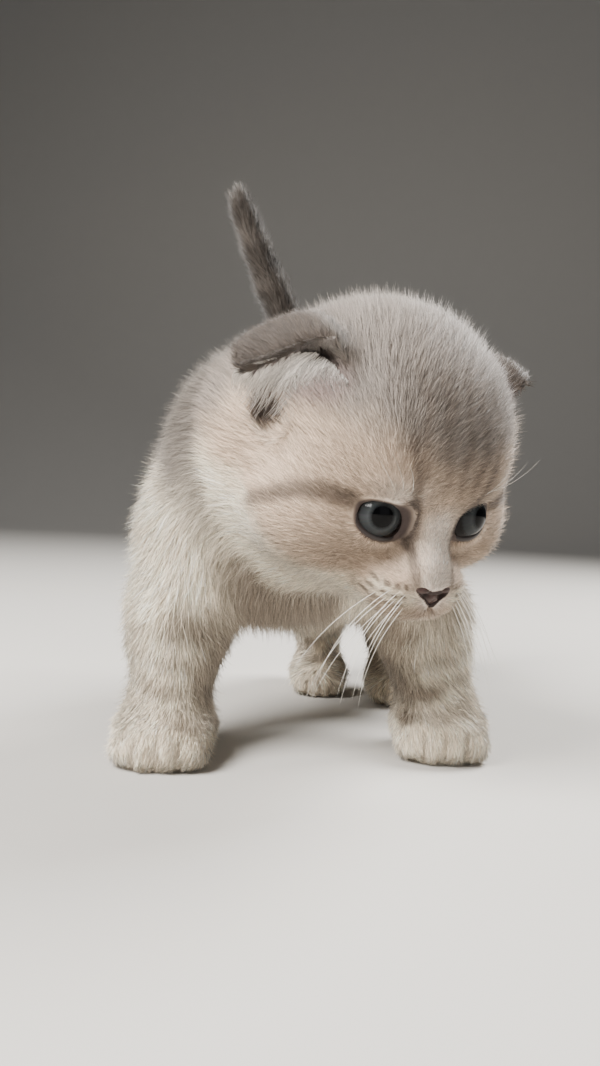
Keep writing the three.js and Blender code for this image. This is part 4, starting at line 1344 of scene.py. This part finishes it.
# Coat pieces: the nodes each covers, the span across the head that it keeps to in millimetres,
# its number of tufts, how far they gather into locks, and their width as a share.
FAR = 999
ALL = (-FAR, FAR)
FORELEG_PARTS, HINDLEG_PARTS = LEG_PARTS[:3], LEG_PARTS[3:]
COAT_PIECES = {
    "fur_face_right": (("muzzle", "lower_jaw"), (-FAR, 0), 15000, 0.03, 0.4),
    "fur_face_left": (("muzzle", "lower_jaw"), (0, FAR), 13000, 0.03, 0.4),
    "fur_head_right": (("head",), (-FAR, -10), 46000, 0.03, 0.4),
    "fur_head_middle": (("head",), (-10, 10), 42000, 0.03, 0.4),
    "fur_head_left": (("head",), (10, FAR), 37000, 0.03, 0.42),
    "fur_ear_right": (("ear_right",), ALL, 12000, 0.03, 0.5),
    "fur_ear_left": (("ear_left",), ALL, 8000, 0.03, 0.5),
    "fur_neck": (("neck",), ALL, 32000, 0.12, 0.55),
    "fur_chest": (("chest",), ALL, 33000, 0.12, 0.55),
    "fur_loin": (("loin",), ALL, 24000, 0.12, 0.75),
    "fur_foreleg_right": (tuple(f"{part}_right" for part in FORELEG_PARTS), ALL, 36000, 0.1, 0.55),
    "fur_foreleg_left": (tuple(f"{part}_left" for part in FORELEG_PARTS), ALL, 36000, 0.1, 0.55),
    "fur_hindleg_right": (tuple(f"{part}_right" for part in HINDLEG_PARTS), ALL, 15000, 0.1, 0.8),
    "fur_hindleg_left": (tuple(f"{part}_left" for part in HINDLEG_PARTS), ALL, 15000, 0.1, 0.8),
    "fur_tail": (TAIL_NODES, ALL, 14000, 0.1, 0.7),
}


def sampled_roots(mesh, nodes, span, count, draw):
    """Seeded roots on the skin's faces, closer together where hair is short: faces and weights."""
    mesh.calc_loop_triangles()
    corners = np.empty(len(mesh.loop_triangles) * 3, np.int32)
    mesh.loop_triangles.foreach_get("vertices", corners)
    corners = corners.reshape(-1, 3)
    member = np.isin(np.round(kept(mesh, "coat_node")).astype(int), [FLESH.index(name) for name in nodes])
    points = coordinates(mesh)
    aside = seen_from(HEAD, points)[:, 0]
    member &= (aside >= span[0]) & (aside < span[1])
    corners = corners[member[corners[:, 0]]]
    points = points[corners]
    area = np.linalg.norm(np.cross(points[:, 1] - points[:, 0], points[:, 2] - points[:, 0]), axis=1)
    wanted = area / kept(mesh, "coat_length")[corners[:, 0]] ** 0.8
    chosen = draw.choice(len(corners), count, p=wanted / wanted.sum())
    one, other = draw.random((2, count))
    flip = one + other > 1
    one, other = np.where(flip, 1 - one, one), np.where(flip, 1 - other, other)
    return corners[chosen], np.stack([1 - one - other, one, other], 1)


def at_roots(values, corners, weights):
    """Values of the skin's corners, carried to roots on its faces."""
    picked = values[corners]
    if values.ndim == 1:
        return np.sum(picked * weights, 1)
    return np.sum(picked * weights[:, :, None], 1)


def gathered(tips, draw, most):
    """Tips drawn towards a shared tip, so that hairs run together in small locks."""
    leaders = draw.choice(len(tips), max(len(tips) // LOCK_SIZE, 1), replace=False)
    tree = KDTree(len(leaders))
    for at, leader in enumerate(leaders):
        tree.insert(Vector(tips[leader]), at)
    tree.balance()
    chosen = leaders[[tree.find(Vector(tip))[1] for tip in tips]]
    return mixed(tips, tips[chosen], most * draw.random(len(tips)))


def unwrapped(points, normals):
    """Roots on six flat charts, one for each way the skin faces."""
    low, high = points.min(0), points.max(0)
    share = (points - low) / np.maximum(high - low, 1e-6)
    axis = np.abs(normals).argmax(1)
    facing = (normals[np.arange(len(normals)), axis] > 0).astype(int)
    across = np.choose(axis, (share[:, 1], share[:, 0], share[:, 0]))
    up = np.choose(axis, (share[:, 2], share[:, 2], share[:, 1]))
    return np.stack([(axis + 0.02 + 0.96 * across) / 3, (facing + 0.02 + 0.96 * up) / 2], 1)


# A tuft: one corner at the root, two where it is widest, and one at the tip. PATCH is half the
# size of its place on the texture.
TUFT_FACES = np.array([(0, 2, 1), (3, 1, 2), (0, 1, 3), (0, 3, 2)])
PATCH = 0.0015

# About how many tufts share a lock; the shares of stray ones, on the trunk and tail and
# elsewhere; how dark and how pale ticked ones are; the lowest that one reaches; and how far, in
# millimetres, they stay from the opening of an ear.
LOCK_SIZE = 4
LOOSE_STRAYS, CLOSE_STRAYS = 0.22, 0.14
DARK_TICK, PALE_TICK = 0.58, 1.35
FLOOR_GAP = 0.4 * MM
EAR_CLEARANCE = 4


def tuft_mesh(name, roots, normals, lie, length, rise, stray_share, width, gather, painter, draw):
    """Closed, flat, tapering tufts that leave the skin at their roots and lie along it."""
    count = len(roots)
    stray = draw.random(count) < stray_share
    rise = rise * (0.3 + 0.9 * draw.random(count)) + stray * (0.3 + 0.7 * draw.random(count))
    length = length * (0.55 + 0.6 * draw.random(count)) * np.where(stray, 0.8, 1)
    width = width * (0.75 + 0.5 * draw.random(count)) * np.where(stray, 0.7, 1)
    turn = draw.normal(0, 0.2, count)[:, None]
    across = unit(np.cross(lie, normals))
    lie = unit(lie * np.cos(turn) + across * np.sin(turn))
    across = unit(np.cross(lie, normals))
    way = lie * np.cos(rise)[:, None] + normals * np.sin(rise)[:, None]
    tips = roots + way * length[:, None]
    tips = np.where(stray[:, None], tips, gathered(tips, draw, gather))
    middle = roots + (tips - roots) * 0.35 + normals * (0.25 * width)[:, None]
    side = across * (width / 2)[:, None]
    corners = np.stack([roots - normals * 0.2 * MM, middle - side, middle + side, tips], 1)
    corners[..., 2] = np.maximum(corners[..., 2], FLOOR_GAP)
    faces = (np.arange(count)[:, None, None] * 4 + TUFT_FACES[None]).reshape(-1, 3)

    mesh = bpy.data.meshes.new(name)
    mesh.vertices.add(count * 4)
    mesh.vertices.foreach_set("co", corners.astype(np.float32).ravel())
    mesh.loops.add(len(faces) * 3)
    mesh.loops.foreach_set("vertex_index", faces.astype(np.int32).ravel())
    mesh.polygons.add(len(faces))
    mesh.polygons.foreach_set("loop_start", np.arange(0, len(faces) * 3, 3, dtype=np.int32))
    mesh.update(calc_edges=True)
    mesh.shade_smooth()
    facing = np.repeat((normals + draw.normal(0, 0.12, (count, 3)))[:, None], 4, 1)
    facing[:, 1] -= across * 0.3
    facing[:, 2] += across * 0.3
    mesh.normals_split_custom_set_from_vertices(unit(facing).reshape(-1, 3))

    ticking = draw.random(count)
    dark = ticking < 0.24 + 0.35 * np.clip(noise_at(roots, 3 * MM), 0, 1)
    ticked = np.where(dark, DARK_TICK, np.where(ticking > 0.86, PALE_TICK, 1))
    tone = (np.clip(1.06 + draw.normal(0, 0.14, count), 0.6, 1.4) * ticked)[:, None]
    tip_tone = np.clip(1.1 + draw.normal(0, 0.15, count), 0.75, 1.6)[:, None]
    shades = np.ones((count, 4, 4))
    # Roots a little darker than the middle: painted shade deep in the coat.
    shades[:, 0, :3] = painter(roots) * tone * 0.92
    shades[:, 1:3, :3] = (painter(middle) * tone)[:, None]
    shades[:, 3, :3] = painter(tips) * tone * tip_tone
    keep(mesh, "coat_colour", np.clip(shades, 0, 1).reshape(-1, 4))

    patch = np.array([(0, -1), (-1, 0), (1, 0), (0, 1)]) * PATCH
    spots = (unwrapped(roots, normals)[:, None] + patch[None]).reshape(-1, 2)
    layer = mesh.uv_layers.new(name="OFBake")
    layer.data.foreach_set("uv", spots[faces.ravel()].astype(np.float32).ravel())
    return mesh


class KITTEN_OT_coat(bpy.types.Operator):
    """Tufts of fur over the skin, in one piece for each part of the body"""
    bl_idname = "kitten.coat"
    bl_label = "Coat"

    def execute(self, context):
        skin = bpy.data.objects["skin"].data
        points, normals = coordinates(skin), normals_of(skin)
        lie, length, rise = kept(skin, "coat_lie"), kept(skin, "coat_length"), kept(skin, "coat_rise")
        shares = np.stack([kept(skin, f"share_{part}") for part in BODY_PARTS], 1)
        material = fur_material()
        for order, (name, (nodes, span, count, gather, width)) in enumerate(COAT_PIECES.items()):
            draw = np.random.default_rng(SEED + order)
            count = int(count * sizes().hair_share)
            corners, weights = sampled_roots(skin, nodes, span, count, draw)
            root, normal = at_roots(points, corners, weights), unit(at_roots(normals, corners, weights))
            in_head = seen_from(HEAD, root)
            eyes = np.min([past_lids(root, side) for side in SIDES], 0)
            growing = (eyes > 0.15) & ~on_leather(in_head) & (np.min(mouth_gap(in_head), 0) > 0.2)
            growing &= distance_to_line(on_right(in_head), EAR_OPENING) > EAR_CLEARANCE
            root, normal, corners, weights = root[growing], normal[growing], corners[growing], weights[growing]
            share = at_roots(shares, corners, weights)
            flow = along_skin(at_roots(lie, corners, weights), normal)
            long = at_roots(length, corners, weights)
            thin = np.clip(long / (6 * MM), 0.55, 1)
            stray_share = LOOSE_STRAYS if nodes[0] in TRUNK_NODES + TAIL_NODES else CLOSE_STRAYS
            mesh = tuft_mesh(
                name, root, normal, flow, long, at_roots(rise, corners, weights), stray_share,
                width * thin * sizes().hair_width, gather, lambda places: marked(places, normal, share), draw)
            new_piece(name, mesh, material)
        return {"FINISHED"}


# Studio

# Area lights: place and size in metres, power in watts, and tint; and the soft light all round.
LIGHTS = {
    "key": ((-0.56, -0.5, 0.74), 0.5, 34, (1.0, 0.97, 0.93)),
    "fill": ((0.5, -0.8, 0.4), 0.8, 1.1, (0.95, 0.97, 1.0)),
    "rim": ((0.6, 0.35, 0.8), 0.5, 28, (1.0, 0.98, 0.95)),
}
SKY_COLOUR = (0.8, 0.82, 0.85, 1)
SKY_STRENGTH = 0.12


def backdrop_form():
    """A floor that turns up into a wall far behind, with a rounded foot."""
    form = bmesh.new()
    bmesh.ops.create_grid(form, x_segments=1, y_segments=1, size=3)
    far = [e for e in form.edges if all(v.co.y > 1 for v in e.verts)]
    raised = bmesh.ops.extrude_edge_only(form, edges=far)["geom"]
    bmesh.ops.translate(form, verts=[g for g in raised if isinstance(g, bmesh.types.BMVert)], vec=(0, 0, 3))
    bmesh.ops.bevel(
        form, geom=far, offset=1.2, offset_type="OFFSET", segments=12, profile=0.5, affect="EDGES", material=-1)
    bmesh.ops.recalc_face_normals(form, faces=form.faces)
    return form


class KITTEN_OT_stage(bpy.types.Operator):
    """Pale floor, soft lights and the camera at the photo's angle"""
    bl_idname = "kitten.stage"
    bl_label = "Stage"

    def execute(self, context):
        scene = context.scene
        floor = bpy.data.objects.new("studio_floor", mesh_of("studio_floor", backdrop_form()))
        floor.data.materials.append(floor_material())
        scene.collection.objects.link(floor)
        target = HEAD.translation
        for name, (place, size, power, tint) in LIGHTS.items():
            lamp = bpy.data.lights.new(name, "AREA")
            lamp.size, lamp.energy, lamp.color = size, power, tint
            holder = bpy.data.objects.new(name, lamp)
            holder.location = place
            holder.rotation_euler = (target - holder.location).to_track_quat("-Z", "Y").to_euler()
            scene.collection.objects.link(holder)
        world = bpy.data.worlds.new("studio")
        world.use_nodes = True
        sky = world.node_tree.nodes["Background"]
        sky.inputs["Color"].default_value = SKY_COLOUR
        sky.inputs["Strength"].default_value = SKY_STRENGTH
        scene.world = world
        lens = bpy.data.cameras.new("camera")
        lens.lens = CAMERA_LENS
        lens.sensor_width = lens.sensor_height = CAMERA_SENSOR
        lens.clip_start = 0.01
        camera = bpy.data.objects.new("camera", lens)
        upright = Matrix.Rotation(math.radians(90) + CAMERA_PITCH, 4, "X")
        rolled = Matrix.Rotation(CAMERA_ROLL, 4, "Z")
        camera.matrix_world = Matrix.Translation(HEAD.translation + CAMERA_FROM_EYES) @ upright @ rolled
        scene.collection.objects.link(camera)
        scene.camera = camera
        return {"FINISHED"}


STEPS = (
    KITTEN_OT_skin, KITTEN_OT_eyes, KITTEN_OT_lids, KITTEN_OT_nose, KITTEN_OT_whiskers, KITTEN_OT_ear_hair,
    KITTEN_OT_coat, KITTEN_OT_stage)


class KITTEN_PT_panel(bpy.types.Panel):
    """Sizes, colours and steps of the kitten"""
    bl_idname = "KITTEN_PT_panel"
    bl_label = "Scottish Fold Kitten"
    bl_space_type = "VIEW_3D"
    bl_region_type = "UI"
    bl_category = "Kitten"

    def draw(self, context):
        for group in (context.scene.kitten_sizes, context.scene.kitten_colours):
            box = self.layout.box()
            for name in group.__annotations__:
                box.prop(group, name)
        for step in STEPS:
            self.layout.operator(step.bl_idname)


CLASSES = (KittenColours, KittenSizes, *STEPS, KITTEN_PT_panel)


def register():
    for cls in CLASSES:
        bpy.utils.register_class(cls)
    bpy.types.Scene.kitten_colours = bpy.props.PointerProperty(type=KittenColours)
    bpy.types.Scene.kitten_sizes = bpy.props.PointerProperty(type=KittenSizes)


def unregister():
    del bpy.types.Scene.kitten_sizes
    del bpy.types.Scene.kitten_colours
    for cls in reversed(CLASSES):
        bpy.utils.unregister_class(cls)


def main():
    register()
    bpy.ops.kitten.skin()
    bpy.ops.kitten.eyes()
    bpy.ops.kitten.lids()
    bpy.ops.kitten.nose()
    bpy.ops.kitten.whiskers()
    bpy.ops.kitten.ear_hair()
    bpy.ops.kitten.coat()
    bpy.ops.kitten.stage()


if __name__ == "__main__":
    main()
